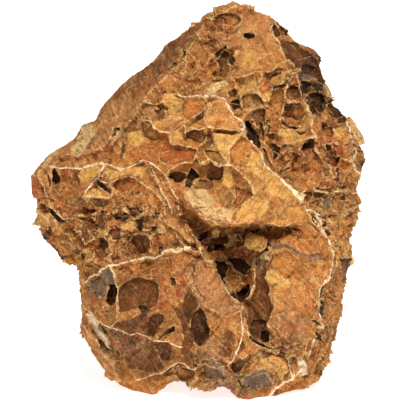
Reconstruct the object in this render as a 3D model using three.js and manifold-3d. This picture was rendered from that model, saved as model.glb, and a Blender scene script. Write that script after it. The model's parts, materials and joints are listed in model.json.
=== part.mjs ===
// A rough, upright ornamental stone, iron stained and full of thin veins, in millimetres with +Z up.
// Its front is laid out as an eye sees it that looks down on the stone a little. Each point of a line below
// is [u, v, w]: u to the right, v upwards and w towards that eye. toPart turns it into the part's frame.

import * as THREE from 'three';
import { ImprovedNoise } from 'three/addons/math/ImprovedNoise.js';
import { mergeVertices } from 'three/addons/utils/BufferGeometryUtils.js';
import Module from 'manifold-3d';

// Driving dimensions in mm, with the angle, counts, shares, noise offsets and seeds that go with them
const EYE_TILT_DEG = 12;
const FLOOR_HEIGHT = 9.6;
const SILHOUETTE_STEP = 4;
const LINE_STEP = 4.5;
const LINE_GAP = 0.9;
const POINT_GAP = 1.9;
const CHORD_BULGE = 1.2;
const SCOOP_CLEAR = 1.05;
const SHOULDER_INSET = 2.8;
const SHOULDER_RISE = 8;
const SHOULDER_LEAST = 0.5;
const SHOULDER_GAP = 2.4;
const RING_SWAY = 9;
const RING_SWAY_SCALE = 30;
const LONGEST_EDGE = 12.5;
const REFINING_ROUNDS = 4;
const ROUGH_SCALE = 14;
const ROUGH_REACH = 1.5;
const FINE_SCALE = 6;
const FINE_REACH = 0.7;
const BACK_SCALE = 34;
const BACK_REACH = 5;
const BACK_FROM = -8;
const BACK_FULL = -28;
const LUMP_SWELL = 0.44;
const LUMP_SCALE = 1.7;
const NOISE_STRIDE = 40.3;
const NOISE_LEVEL = 0.5;
const FLOOR_BLOCK = 400;
const FAR_CORNER = 10000;
const WELD_DISTANCE = 0.0001;
const SITE_TRIES = 60000;
const FIELD_WIDTH = 172;
const FIELD_HEIGHT = 200;
const HOLLOW_SHARE = [0.45, 1.15];
const RIM_SHARE = [0.2, 0.6];
const INSET_SHARE = [0.9, 1.4];
const RISE_SHARE = [0.5, 1.3];
const EDGE_CLEARANCE = 0.3;
const FRONT_SEED = 11;
const BACK_SEED = 23;

// The stone's silhouette, clockwise from its top
const SILHOUETTE = [
  [18.5, 199, 2], [27, 196.5, 0], [34, 193, -1], [40, 189.5, -2], [44, 185.5, -4], [46, 181, -6],
  [50, 178, -9], [57.5, 175.5, -12], [60.5, 170.5, -12], [61.5, 163, -12], [65.5, 154.5, -10],
  [68.5, 147.5, -8], [76, 142, -6], [80.5, 135, -4], [84, 129, -2], [83.5, 120.5, 0],
  [79, 110, 0], [78, 105, -2], [82, 99, -4], [79.5, 90, -4], [76.5, 77.5, -4], [77.5, 70.5, -2], [74, 65, 0],
  [73, 55, 2], [71, 45, 4], [68.5, 34, 8], [67, 24, 10], [64.5, 15, 12], [60, 8.5, 16], [51, 4.6, 26],
  [42, 4.8, 30], [37, 2, 36], [30, 1, 40], [23.7, 0.2, 44], [18, 2, 42], [14.6, 5.2, 40], [12, 6.9, 39],
  [5.5, 5.6, 38], [-5.3, 6.5, 36], [-12, 9.4, 33], [-15.3, 8.5, 32], [-19.8, 5.2, 31], [-22, 2.7, 32],
  [-24.4, 2.7, 32], [-29.3, 4.7, 27], [-34.3, 5.4, 22], [-42, 9.6, 16], [-47, 13, 14], [-52.5, 21.5, 12],
  [-58, 31, 10], [-59.5, 38.5, 8], [-60, 50, 4], [-61.5, 59, 2], [-62.5, 66.5, 0], [-69.5, 69.5, -2],
  [-71.5, 74, -4], [-78, 78.5, -4], [-81, 85, -4], [-81, 92.5, -2], [-83, 97.5, 0], [-85, 102.5, 2],
  [-84.5, 112.5, 4], [-78.5, 120.5, 2], [-71.5, 126, -2], [-64, 130, -4], [-59, 138, -8], [-52.5, 140, -10],
  [-47.5, 148.5, -12],
  [-40, 157.5, -14], [-25, 170, -16], [-17.5, 177.5, -14], [-9, 184, -12], [0, 192, -8], [7.5, 197, -2],
];

// Crests of the front that end in a step: the ground falls by drop, within run of the crest, on its right
// as the line is walked where side is 1, and on its left where side is -1
const STEPS = [
  // right edge of the cap, above the dark recessed flank
  { side: -1, run: 3, drop: 12, line: [
    [37, 188.5, 8], [36.4, 185.5, 10], [37.6, 180, 14], [39.5, 176, 17], [43.4, 170.7, 20],
    [46.9, 166.8, 24], [47.8, 163.6, 26], [49.7, 156.6, 29], [51, 149.6, 31], [54.8, 142.6, 33],
    [57.4, 132.4, 34], [57.7, 124.7, 34], [61.2, 119.6, 32], [63.8, 117, 30]] },
  // upper right edge of the central mass
  { side: -1, run: 2.5, drop: 8, line: [
    [-1.4, 152.8, 30], [6.5, 151.5, 33], [12.5, 149, 36], [17.5, 141.5, 38], [22, 138.5, 40],
    [20.5, 133.5, 40], [25, 128, 42], [30, 122.3, 44], [32, 117.5, 45], [37.5, 111, 47], [42.5, 107, 47],
    [48, 104, 47]] },
  // lower edge of the central mass, over the long crevice
  { side: 1, run: 2.5, drop: 15, line: [
    [-8.5, 100, 47], [-5, 96, 49], [-1.5, 95, 50], [0, 92, 50], [4, 91, 51], [6.5, 88.5, 51], [11, 88, 51],
    [18, 87.5, 51], [22.5, 88.5, 50], [30, 89, 50], [37.5, 88, 50], [50, 87, 48]] },
  // right edge of the boulder, over the deep triangular cavity
  { side: -1, run: 2.5, drop: 20, line: [
    [-8.5, 91.7, 42], [-3.6, 84.8, 45], [-0.9, 79, 46], [1.4, 75, 47], [6.5, 67, 48], [10, 61, 49],
    [12.8, 56, 50], [16.5, 51.5, 50], [20.5, 48.5, 50]] },
  // crest of the boulder, with the rubble lower behind it
  { side: -1, run: 2.2, drop: 6, line: [
    [-57, 59.4, 14], [-53, 62.5, 24], [-48, 66.3, 32], [-44.7, 67.8, 36], [-34.8, 69.3, 38], [-25.6, 71, 38],
    [-18.7, 73, 42], [-14, 75, 44], [-8.4, 76.4, 46], [-1, 74.5, 46]] },
  // long pale ridge down the right side
  { side: -1, run: 3.5, drop: 13, line: [
    [51, 100, 46], [57.5, 95, 45], [59.3, 87, 46], [62, 78.5, 46], [64.5, 73, 46], [64, 68, 46],
    [61, 58.5, 47], [58, 50, 48], [60, 39.5, 48], [57, 30.5, 47], [53.5, 25, 46], [49, 14, 44],
    [43, 9, 42], [36, 6.5, 39]] },
  // left edge of the block's face, towards the cavity
  { side: 1, run: 2.2, drop: 7, line: [
    [35, 75, 47], [33.7, 69.7, 48], [33.2, 62, 50], [34.3, 56.5, 51], [35.3, 49.3, 51], [35.8, 42.6, 51],
    [33.7, 39, 50], [30.7, 34, 49]] },
  // smooth rim round the boulder's lower left, with a scoop inside it
  { side: -1, run: 1.8, drop: 3.5, line: [
    [-54.5, 34, 22], [-51.5, 30.2, 26], [-49, 24.5, 28], [-44.5, 18.8, 30], [-40, 12.5, 28]] },
  // the broken scales of the upper middle, each with its lower edge undercut
  { side: 1, run: 1.8, drop: 4, line: [
    [-31, 138.5, 34], [-26.5, 139.5, 34], [-22.5, 135.5, 35], [-16.5, 133.5, 36], [-14, 134.5, 36]] },
  { side: 1, run: 1.8, drop: 3, line: [
    [-30, 147.5, 28], [-27.5, 149, 28], [-24, 147, 29], [-19, 148.5, 29]] },
  { side: 1, run: 1.8, drop: 4, line: [
    [-14.5, 130, 40], [-10.5, 126.7, 40], [-6.7, 126.3, 40], [-2.5, 125, 40]] },
  { side: 1, run: 1.8, drop: 3.5, line: [
    [-6.8, 134, 40], [-2.4, 135.5, 41], [2.1, 134.6, 41], [5.3, 136.2, 41], [14.2, 135.5, 41],
    [18.7, 132.3, 41]] },
  { side: -1, run: 1.8, drop: 3, line: [
    [21, 132, 41], [17.4, 128.5, 42], [14.2, 123.8, 43], [13.3, 120, 44]] },
  { side: 1, run: 1.8, drop: 5, line: [
    [-25, 118, 40], [-20, 116, 41], [-16, 114.7, 42], [-9, 117.4, 43], [-4.3, 118.5, 43], [-2, 121.2, 43]] },
  // upper rim of the central hollow
  { side: 1, run: 2.5, drop: 6, line: [
    [1.5, 117.5, 46], [6.5, 119, 46], [10.5, 117.5, 46], [17.5, 116.5, 46], [20, 113.5, 46],
    [23, 109.5, 47], [26, 105.5, 48], [27, 103, 49], [24, 100, 49]] },
  // inner edge of the smooth upper left flank
  { side: 1, run: 2.5, drop: 3, line: [
    [-70, 122, 14], [-60, 123.5, 19], [-50, 125, 22], [-43, 129, 25], [-40, 132, 26], [-35, 140, 26]] },
];

// Crests and hollows of the front that have no step of their own
const CREASES = [
  // the flank's edge goes on to the top
  [[-35, 140, 26], [-30, 150, 22], [-20, 160, 18], [-8, 175, 12], [0, 186, 6]],
  // plates of the cap
  [[20, 188, 8], [22, 181, 12], [19, 175, 13], [14, 171, 13], [9, 174, 11]],
  [[31, 190, 7], [33, 180, 14], [36, 172, 20], [30, 165, 22], [20, 166, 20], [18, 158, 22]],
  // walls of the open cells between the cap's edge and the central mass
  [[18, 162, 24], [24, 162, 26], [29.5, 164, 27], [29, 156.5, 28], [20, 150.5, 28]],
  [[28.5, 154, 28], [32, 147.5, 29], [22.5, 143.5, 30]],
  [[32, 147.5, 29], [35.5, 156, 29], [41, 158.5, 29], [44.5, 163.5, 28]],
  [[47, 164, 27], [43, 154, 30], [40.5, 145, 31], [40, 137.5, 32], [33, 133, 33]],
  [[42, 148.5, 30], [50, 148.5, 31]],
  [[31, 166.5, 25], [37.5, 165, 25], [45, 170, 22]],
  [[40, 134, 33], [46, 126, 34], [56, 127, 34]],
  [[30, 140, 26], [34, 130, 28], [40, 120, 32], [44, 112, 36]],
  // ridge and strands of the left lobe
  [[-77, 120, 12], [-70, 118, 18], [-60, 117, 24], [-47, 117, 28], [-40, 116, 30], [-32, 119, 32],
    [-25, 119, 34], [-21, 114, 37], [-17, 106, 39], [-14, 100, 41], [-12, 95, 41]],
  [[-80, 112, 9], [-70, 108, 16], [-60, 105, 20], [-50, 105, 25], [-47, 117, 28]],
  [[-60, 104, 21], [-57, 101.5, 22], [-50, 101, 24], [-46, 102, 26], [-40, 104, 28], [-30, 106, 32]],
  [[-82, 104, 6], [-76, 98, 9], [-73, 90, 9]],
  // crack across the left lobe
  [[-74, 94, 8], [-62, 92.5, 16], [-45, 91.5, 24], [-30, 91, 31], [-20, 91, 35], [-10, 96, 38]],
  // rims between the boulder's scoops
  [[-44.7, 67.8, 36], [-42, 60, 39], [-41.4, 52, 40], [-41.4, 43.8, 40]],
  [[-41.4, 43.8, 40], [-32, 47, 42], [-26.6, 41.7, 44], [-15, 46.2, 48], [-8.8, 51.3, 50]],
  [[-19, 60, 46], [-14, 66, 46], [-10, 72, 46]],
  [[-51, 39.2, 29], [-44.5, 36.6, 35], [-34.3, 33.5, 40], [-30.5, 34.7, 41], [-22.8, 30.3, 45],
    [-15.2, 29.6, 48]],
  [[-22.8, 30.3, 45], [-15, 39, 49], [-9.4, 35, 49]],
  [[-31.7, 10.5, 32], [-19, 14.3, 40], [-12.6, 18.1, 43], [-9.4, 18.8, 44], [-3, 16.2, 44]],
  [[-8.8, 51.3, 50], [-3, 44, 50], [-2, 55, 50], [2, 60, 50]],
  // block: its left rim, trough and lower edge
  [[27.6, 63.5, 42], [26, 56.5, 44], [23.5, 51.5, 47], [20.5, 48.5, 50]],
  [[20.5, 47, 52], [19.5, 44, 52], [20.5, 40, 52], [23.5, 34, 52], [25.6, 31, 52], [30.7, 27.3, 51],
    [38.4, 23.8, 50], [46, 22.7, 48], [52, 21, 46]],
  [[27, 46, 43], [27, 40, 42], [29, 34, 43]],
  [[37, 77, 44], [45, 74, 46], [54, 70, 46], [61, 69, 46]],
  [[50, 66, 49], [50, 52, 51], [52, 38, 50], [47, 28, 49]],
  // bottom band
  [[20.4, 35, 52], [17.9, 26, 51], [14.5, 18, 49], [16, 10, 47]],
  [[14.5, 18, 49], [4, 19, 46], [-4, 21, 45], [-8, 28, 48]],
  [[30.7, 27.3, 51], [31, 18, 49], [30, 10, 46], [30, 5, 40]],
  // outer flank of the right side
  [[66, 112, 24], [70, 95, 20], [69, 80, 24], [71, 66, 22], [67, 50, 26], [65, 38, 26], [61, 25, 28],
    [55, 13, 29]],
  [[50, 106.5, 40], [62.5, 105, 32], [73, 106, 16]],
  [[66, 132, 20], [72, 142, 4], [76.5, 130, 10], [78.5, 123.5, 10], [76, 117, 12], [66, 112, 24]],
];

// Single high and low places of the front
const SPOTS = [
  [-55, 133, 5], [-40, 148, 3], [-25, 160, 1], [-10, 175, -1], [-70, 123, 5], [-48, 138, 8], [-32, 155, 6],
  [28, 184, 9], [26, 176, 13], [12, 190, 3], [30, 172, 18], [8, 163, 15], [3, 176, 12], [25, 170, 17],
  [52, 160, 6], [55, 150, 4], [60, 143, 4], [47, 172, 6], [62, 135, 8], [70, 125, 18], [71, 134, 9],
  [36, 152, 24], [25, 158, 22], [38, 162, 23], [46, 156, 24], [45, 141, 27], [37, 142, 26], [36, 126, 26],
  [50, 133, 30], [50, 119, 32], [55, 112, 33], [58, 108, 32],
  [-20, 145, 29], [-10, 160, 21], [0, 165, 20], [5, 157, 24], [-5, 150, 29], [-24, 143, 28], [-12, 140, 36],
  [2, 144, 36], [10, 141, 38], [-6, 130, 38], [6, 129, 41], [10, 124, 42], [-8, 121, 41], [-28, 128, 29],
  [8, 108, 37], [14, 106, 39], [0, 106, 42], [-7, 106, 43], [20, 96, 49], [8, 96, 50], [33, 100, 50],
  [40, 95, 50], [31, 107, 48], [25, 118, 45], [20, 123, 43],
  [-55, 112, 22], [-66, 112, 18], [-40, 110, 27], [-30, 112, 30], [-22, 101, 36], [-35, 98, 29],
  [-50, 96, 21], [-66, 99, 13], [-76, 105, 9], [-65, 85, 10], [-55, 85, 18], [-45, 82, 24], [-35, 83, 28],
  [-25, 82, 33], [-15, 84, 36], [-60, 74, 12], [-48, 74, 22], [-36, 76, 28], [-22, 78, 33], [-72, 82, 4],
  [5, 82, 28], [15, 80, 28], [25, 80, 32], [35, 80, 38], [45, 82, 44], [54, 84, 45], [10, 75, 22],
  [20, 70, 22], [28, 68, 30], [18, 60, 22], [24, 56, 30], [14, 64, 20],
  [-50, 50, 31], [-53, 44, 27], [-30, 25, 41], [-38, 25, 36], [-15, 55, 47], [-21, 66, 42], [-34, 66, 39],
  [-12, 34, 48], [8, 48, 51], [8, 38, 51], [4, 60, 50], [12, 32, 51], [2, 26, 49], [-22, 20, 42],
  [-28, 15, 37], [-36, 17, 34], [40, 62, 51], [42, 48, 52], [40, 33, 50], [56, 62, 49],
  [54, 45, 50], [38, 18, 49], [44, 15, 47], [24, 10, 48], [22, 25, 51], [4, 12, 43], [-6, 12, 40],
];

// The back, which is broken like the front but more coarsely
const BACK_STEPS = [
  { side: 1, run: 3, drop: 6, line: [
    [-60, 118, -28], [-44, 112, -42], [-28, 116, -48], [-10, 108, -55], [6, 112, -57]] },
  { side: -1, run: 3, drop: 6, line: [
    [54, 128, -38], [40, 116, -47], [30, 98, -56], [28, 80, -59], [36, 62, -54]] },
  { side: 1, run: 3, drop: 5, line: [[-46, 66, -42], [-30, 56, -51], [-12, 58, -57], [4, 50, -57]] },
  { side: -1, run: 2.5, drop: 4, line: [[-24, 158, -34], [-8, 150, -42], [8, 152, -44], [22, 144, -44]] },
];
const BACK = [
  [[7.5, 190, -10], [15, 178, -22], [10, 160, -36], [5, 145, -44], [-2, 125, -51], [0, 105, -56],
    [4, 85, -59], [5, 65, -58], [2, 45, -52], [0, 30, -46]],
  [[-50, 138, -26], [-40, 132, -34], [-30, 118, -44], [-25, 100, -50], [-22, 80, -53], [-20, 60, -52],
    [-20, 40, -47], [-22, 26, -43]],
  [[58, 156, -22], [54, 142, -34], [58, 122, -37], [60, 108, -38], [57, 90, -42], [55, 75, -43],
    [52, 55, -41], [48, 35, -36], [43, 21, -33]],
  [[10, 160, -36], [25, 152, -38], [40, 146, -37], [54, 142, -34]],
  [[-22, 80, -53], [-38, 82, -47], [-52, 80, -38], [-66, 84, -22]],
  [[30, 120, -50], [30, 105, -55], [31, 88, -57], [33, 68, -54], [31, 48, -51], [30, 29, -46]],
];
const BACK_SPOTS = [
  [15, 195, -9], [27, 190, -11], [0, 183, -20], [40, 176, -18],
  [30, 180, -18], [45, 165, -26], [-5, 168, -28], [-20, 150, -36], [-35, 148, -28], [-60, 122, -24],
  [-55, 108, -35], [-72, 104, -16], [-45, 62, -40], [-45, 45, -34], [-50, 34, -20], [-38, 24, -28],
  [72, 118, -20], [72, 95, -22], [68, 80, -26], [68, 60, -18], [60, 40, -22], [54, 22, -16], [60, 150, -26],
  [12, 100, -55], [-10, 140, -46], [16, 135, -46], [42, 128, -44], [45, 95, -50], [15, 50, -50],
  [-58, 95, -36],
];
const BACK_SCOOPS = [
  { at: [-36, 124], half: [9, 6], depth: 4.5, turn: 30 },
  { at: [12, 128], half: [8, 10], depth: 6, turn: 10 },
  { at: [44, 102], half: [7, 8], depth: 5, turn: -20 },
  { at: [-10, 90], half: [8, 11], depth: 5.5, turn: 15 },
  { at: [18, 66], half: [9, 7], depth: 6, turn: 0 },
  { at: [-38, 78], half: [8, 7], depth: 5, turn: 40 },
  { at: [-10, 40], half: [9, 7], depth: 5, turn: -15 },
  { at: [44, 46], half: [6, 9], depth: 5, turn: 20 },
  { at: [2, 168], half: [6, 8], depth: 5, turn: -30 },
  { at: [42, 160], half: [6, 5], depth: 4, turn: 0 },
  { at: [-62, 102], half: [6, 5], depth: 4, turn: 0 },
  { at: [66, 110], half: [5, 7], depth: 4, turn: 10 },
  { at: [64, 74], half: [5, 8], depth: 4, turn: -10 },
];

// The underside, with the feet that the stone rests on
const UNDERSIDE = [
  [28, 2.6, 20], [37, 5, 12], [22, 5, 12], [-27, 4.6, 14], [-33, 8.5, 6], [30, 9, -8], [-28, 10, -8],
  [31, 15.4, -40], [22, 15.6, -36], [37, 13.6, -28], [-28, 15.2, -38], [-20, 15.6, -34], [-34, 14.6, -24],
  [0, 14, 12], [2, 19, -12], [0, 23, -34], [42, 13, -14], [48, 12, 4], [-40, 15, -4], [12, 9, 22],
  [-8, 12, 18],
];

// How the surface is broken between those lines: hollows spacing apart and deep below their own rims. The
// nearest place rules.
const FRONT_TEXTURE = [
  { spacing: 11, depth: 0.8, places: [[-60, 128], [-45, 143], [-30, 157], [-15, 172], [-5, 184]] },
  { spacing: 8.5, depth: 2, places: [[18, 190], [28, 178], [10, 165], [30, 165], [-5, 158]] },
  { spacing: 7, depth: 3.4, places: [[32, 155], [45, 150], [40, 130], [50, 122]] },
  { spacing: 8.5, depth: 3, places: [[50, 170], [58, 150], [66, 136]] },
  { spacing: 7, depth: 3, places: [[74, 126], [66, 114], [72, 102]] },
  { spacing: 8.5, depth: 2.6, places: [[-20, 140], [-10, 130], [5, 140], [-5, 110], [10, 125]] },
  { spacing: 7, depth: 3.2, places: [[-70, 112], [-55, 112], [-40, 112], [-45, 100], [-28, 110]] },
  { spacing: 7, depth: 3.2, places: [[-65, 88], [-50, 80], [-30, 82], [-20, 92], [-75, 96]] },
  { spacing: 10, depth: 1.4, places: [[20, 110], [35, 98], [10, 98], [50, 95]] },
  { spacing: 10, depth: 1.8, places: [[-50, 55], [-30, 30], [-10, 40], [0, 60], [-30, 15]] },
  { spacing: 14, depth: 0.8, places: [[45, 60], [45, 42], [30, 40]] },
  { spacing: 6.4, depth: 2.8, places: [[70, 72], [69, 48], [63, 22]] },
  { spacing: 8.5, depth: 1.6, places: [[20, 14], [38, 12], [5, 14]] },
];
const BACK_TEXTURE = [
  { spacing: 12, depth: 2.6, places: [[0, 150], [0, 60], [30, 20]] },
  { spacing: 10, depth: 3.2, places: [[-50, 100], [50, 110], [40, 60], [-40, 40]] },
];

// Rounded scoops of the front: half sizes across and up, depth in the middle, and the turn in degrees
const SCOOPS = [
  { at: [45, 140.5], half: [4.6, 6.8], depth: 5, turn: 0 },
  { at: [24.5, 151.5], half: [3.8, 2.8], depth: 4, turn: 10 },
  { at: [24, 182], half: [3.4, 1.8], depth: 3, turn: -15 },
  { at: [11, 168], half: [4.6, 8], depth: 4.5, turn: -20 },
  { at: [13, 190], half: [5.5, 3.8], depth: 3, turn: 0 },
  { at: [-37.5, 108.5], half: [5.4, 4.2], depth: 4.5, turn: 0 },
  { at: [-56, 96], half: [5, 2.8], depth: 5, turn: 0 },
  { at: [-69, 112], half: [4, 3], depth: 3.5, turn: 20 },
  { at: [-53, 111], half: [4.4, 4], depth: 4, turn: 0 },
  { at: [7.2, 114.2], half: [3.8, 3], depth: 5, turn: 0 },
  { at: [-31.7, 53.6], half: [9.2, 7.4], depth: 7, turn: 20 },
  { at: [-23.4, 37.6], half: [4.2, 5.6], depth: 5.5, turn: -40 },
  { at: [0.3, 37], half: [4.4, 9], depth: 5.5, turn: 12 },
  { at: [-6.4, 45.4], half: [2.8, 6.5], depth: 4, turn: 16 },
  { at: [-15.5, 24.5], half: [3, 4], depth: 4.5, turn: 15 },
  { at: [-15, 14.5], half: [3.8, 2.2], depth: 4, turn: 20 },
  { at: [-46, 26], half: [3.2, 5.8], depth: 4, turn: 30 },
  { at: [-50, 57], half: [3.4, 5], depth: 2.5, turn: -25 },
  { at: [20.5, 17.6], half: [4.4, 3.6], depth: 3.5, turn: 20 },
  { at: [26.5, 43], half: [3.4, 9], depth: 4, turn: 8 },
  { at: [54.8, 17.5], half: [1.8, 3], depth: 4, turn: 0 },
  { at: [-40.5, 135], half: [3.2, 1.5], depth: 2.5, turn: 40 },
  { at: [-25, 156.5], half: [3.4, 1.3], depth: 2.5, turn: 45 },
];

// A scoop's rings of points: how far out, what share of the depth, and how many
const SCOOP_RINGS = [
  { reach: 1, share: 0, count: 9 },
  { reach: 0.62, share: 0.75, count: 6 },
  { reach: 0, share: 1, count: 1 },
];

// Deep holes, cut into the front: half sizes across and up, depth below the surface, and the turn in degrees
const HOLES = [
  { at: [53, 156], half: [3.6, 3.6], depth: 10, turn: 0 },
  { at: [59, 147], half: [5.2, 6], depth: 11, turn: 0 },
  { at: [54, 127.5], half: [2.6, 2.4], depth: 6, turn: 30 },
  { at: [66, 122], half: [3.4, 3.4], depth: 7, turn: 0 },
  { at: [25, 134], half: [1.7, 5.6], depth: 8, turn: 25 },
  { at: [28.5, 127], half: [1.5, 3.6], depth: 6, turn: 25 },
  { at: [17.5, 154], half: [1.5, 1.5], depth: 5, turn: 0 },
  { at: [17.5, 148], half: [1.5, 1.5], depth: 5, turn: 0 },
  { at: [-72.5, 111.5], half: [1.8, 4], depth: 6, turn: 10 },
  { at: [-10.7, 111.2], half: [4.6, 2.4], depth: 5, turn: 0 },
  { at: [-4.2, 110.5], half: [2.6, 4.2], depth: 6, turn: 0 },
  { at: [-31.7, 76], half: [3.6, 5.8], depth: 6, turn: 15 },
  { at: [-44, 53], half: [1.9, 4.4], depth: 11, turn: -8 },
  { at: [-17, 33.2], half: [4.6, 1.2], depth: 5, turn: 36 },
  { at: [-49, 36.2], half: [1.3, 2.8], depth: 4, turn: -25 },
  { at: [31.5, 32.5], half: [2.2, 3], depth: 6, turn: 0 },
  { at: [-2.5, 94.5], half: [2.8, 1.9], depth: 9, turn: 0 },
  { at: [8.8, 79.2], half: [6.4, 3.4], depth: 8, turn: 0 },
  { at: [10.5, 63], half: [3.6, 7], depth: 8, turn: 30 },
  { at: [22, 53.5], half: [4.4, 3.6], depth: 9, turn: 0 },
];

// The crevice goes on under the central mass, and these lumps stand in it: centre and half sizes
const UNDERCUTS = [
  { at: [24, 83.5, 36], half: [20, 3.6, 10] },
  { at: [-6, 90, 36], half: [7, 3.4, 8] },
];
const LUMPS = [
  { at: [28, 78.5, 36], half: [5.6, 4.8, 6] },
  { at: [7.5, 84, 30], half: [2.8, 2.4, 4] },
  { at: [17, 58.5, 24], half: [4.6, 4, 7] },
];

const STONE_COLOUR = 0xa57245;

const noise = new ImprovedNoise();

// A repeatable row of numbers from 0 to 1.
function randomRow(seed) {
  let state = seed;
  return () => {
    state = (state + 0x6d2b79f5) | 0;
    let mixed = Math.imul(state ^ (state >>> 15), 1 | state);
    mixed = (mixed + Math.imul(mixed ^ (mixed >>> 7), 61 | mixed)) ^ mixed;
    return ((mixed ^ (mixed >>> 14)) >>> 0) / 4294967296;
  };
}

// From [u, v, w] to the part's frame, before it is set down on its feet.
function toPart([u, v, w]) {
  const tilt = THREE.MathUtils.degToRad(EYE_TILT_DEG);
  return [
    u,
    v * Math.sin(tilt) - w * Math.cos(tilt),
    v * Math.cos(tilt) + w * Math.sin(tilt),
  ];
}

const flatDistance = (a, b) => Math.hypot(a[0] - b[0], a[1] - b[1]);
const middle = (a, b) => [0, 1, 2].map((k) => (a[k] + b[k]) / 2);

// A line's points with more between them, so that no two are further than step apart.
function densified(line, step, closed = false) {
  const points = [];
  const last = closed ? line.length : line.length - 1;
  for (let i = 0; i < last; i++) {
    const from = line[i];
    const to = line[(i + 1) % line.length];
    const pieces = Math.ceil(flatDistance(from, to) / step);
    for (let k = 0; k < pieces; k++) {
      points.push(from.map((value, axis) => value + ((to[axis] - value) * k) / pieces));
    }
  }
  if (!closed) points.push(line[line.length - 1]);
  return points;
}

// The lower line beside a stepped crest. outward is 1 on the front and -1 on the back.
function footOf({ side, run, drop, line }, outward) {
  return line.map((point, i) => {
    const before = line[Math.max(i - 1, 0)];
    const after = line[Math.min(i + 1, line.length - 1)];
    const length = flatDistance(before, after);
    const across = [(after[1] - before[1]) / length, (before[0] - after[0]) / length];
    const [du, dv] = across.map((value) => side * run * value);
    return [point[0] + du, point[1] + dv, point[2] - outward * drop];
  });
}

// Points just inside the silhouette that make the stone's sides steep.
function shoulderOf(ring, outward, random) {
  return ring.map((point, i) => {
    const before = ring[(i + ring.length - 1) % ring.length];
    const after = ring[(i + 1) % ring.length];
    const length = flatDistance(before, after);
    const inward = [(after[1] - before[1]) / length, (before[0] - after[0]) / length];
    const inset = SHOULDER_INSET * THREE.MathUtils.lerp(...INSET_SHARE, random());
    const rise = SHOULDER_RISE * THREE.MathUtils.lerp(...RISE_SHARE, random());
    return [point[0] + inset * inward[0], point[1] + inset * inward[1], point[2] + outward * rise];
  }).filter((_, i) => i % 2 === 0);
}

// Centre and squared radius of the circle through three points.
function circleThrough(a, b, c) {
  const [bu, bv, cu, cv] = [b[0] - a[0], b[1] - a[1], c[0] - a[0], c[1] - a[1]];
  const twice = 2 * (bu * cv - bv * cu);
  const b2 = bu * bu + bv * bv;
  const c2 = cu * cu + cv * cv;
  const u = (cv * b2 - bv * c2) / twice;
  const v = (bu * c2 - cu * b2) / twice;
  return { centre: [a[0] + u, a[1] + v], radius2: u * u + v * v };
}

// Delaunay triangles over the points' u and v, counterclockwise, each as three indices.
function triangulated(points) {
  const all = [...points, [-FAR_CORNER, -FAR_CORNER], [FAR_CORNER, -FAR_CORNER], [0, FAR_CORNER]];
  const corner = points.length;
  let faces = [{ ids: [corner, corner + 1, corner + 2], ...circleThrough(...all.slice(-3)) }];
  points.forEach((point, index) => {
    const rim = new Map();
    const kept = [];
    for (const face of faces) {
      const du = point[0] - face.centre[0];
      const dv = point[1] - face.centre[1];
      if (du * du + dv * dv >= face.radius2) {
        kept.push(face);
        continue;
      }
      face.ids.forEach((from, k) => {
        const to = face.ids[(k + 1) % 3];
        if (!rim.delete(`${to},${from}`)) rim.set(`${from},${to}`, [from, to]);
      });
    }
    for (const [from, to] of rim.values()) {
      kept.push({ ids: [from, to, index], ...circleThrough(all[from], all[to], point) });
    }
    faces = kept;
  });
  return faces.map((face) => face.ids).filter((ids) => Math.max(...ids) < corner);
}

function isInside(ring, u, v) {
  let inside = false;
  ring.forEach((a, i) => {
    const b = ring[(i + 1) % ring.length];
    const crosses = a[1] > v !== b[1] > v;
    if (crosses && u < a[0] + ((b[0] - a[0]) * (v - a[1])) / (b[1] - a[1])) inside = !inside;
  });
  return inside;
}

// Splits edges of the silhouette until no other of its points lies in the circle over an edge.
function settledRing(line) {
  const ring = densified(line, SILHOUETTE_STEP, true).map(([u, v, w]) => (
    [u, v, w + RING_SWAY * noise.noise(u / RING_SWAY_SCALE, v / RING_SWAY_SCALE, NOISE_LEVEL)]));
  for (let i = 0; i < ring.length; i++) {
    const next = ring[(i + 1) % ring.length];
    const centre = middle(ring[i], next);
    const reach = flatDistance(ring[i], next) / 2;
    const crowded = ring.some((p) => p !== ring[i] && p !== next && flatDistance(p, centre) < reach);
    if (crowded) {
      ring.splice(i + 1, 0, centre);
      i = -1;
    }
  }
  return ring;
}

// Keeps the candidates that lie inside the ring, off its edges and off the points kept before them.
function spaced(ring, kept, candidates, gap) {
  for (const point of candidates) {
    const free = (other) => flatDistance(point, other) >= gap;
    const offEdge = ring.every((a, i) => {
      const b = ring[(i + 1) % ring.length];
      return flatDistance(point, middle(a, b)) > flatDistance(a, b) / 2 + EDGE_CLEARANCE;
    });
    if (isInside(ring, point[0], point[1]) && offEdge && kept.every(free)) kept.push(point);
  }
  return kept;
}

// The height w over u and v on the triangles through the points.
function heightOver(points) {
  const faces = triangulated(points);
  return (u, v) => {
    for (const [i, j, k] of faces) {
      const [a, b, c] = [points[i], points[j], points[k]];
      const area = (b[0] - a[0]) * (c[1] - a[1]) - (b[1] - a[1]) * (c[0] - a[0]);
      const ofB = ((u - a[0]) * (c[1] - a[1]) - (v - a[1]) * (c[0] - a[0])) / area;
      const ofC = ((b[0] - a[0]) * (v - a[1]) - (b[1] - a[1]) * (u - a[0])) / area;
      const isHere = ofB >= 0 && ofC >= 0 && ofB + ofC <= 1;
      if (isHere) return a[2] + ofB * (b[2] - a[2]) + ofC * (c[2] - a[2]);
    }
    return 0;
  };
}

function textureAt(texture, point) {
  const reachOf = (kind) => Math.min(...kind.places.map((place) => flatDistance(place, point)));
  return texture.reduce((best, kind) => (reachOf(kind) < reachOf(best) ? kind : best));
}

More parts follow.
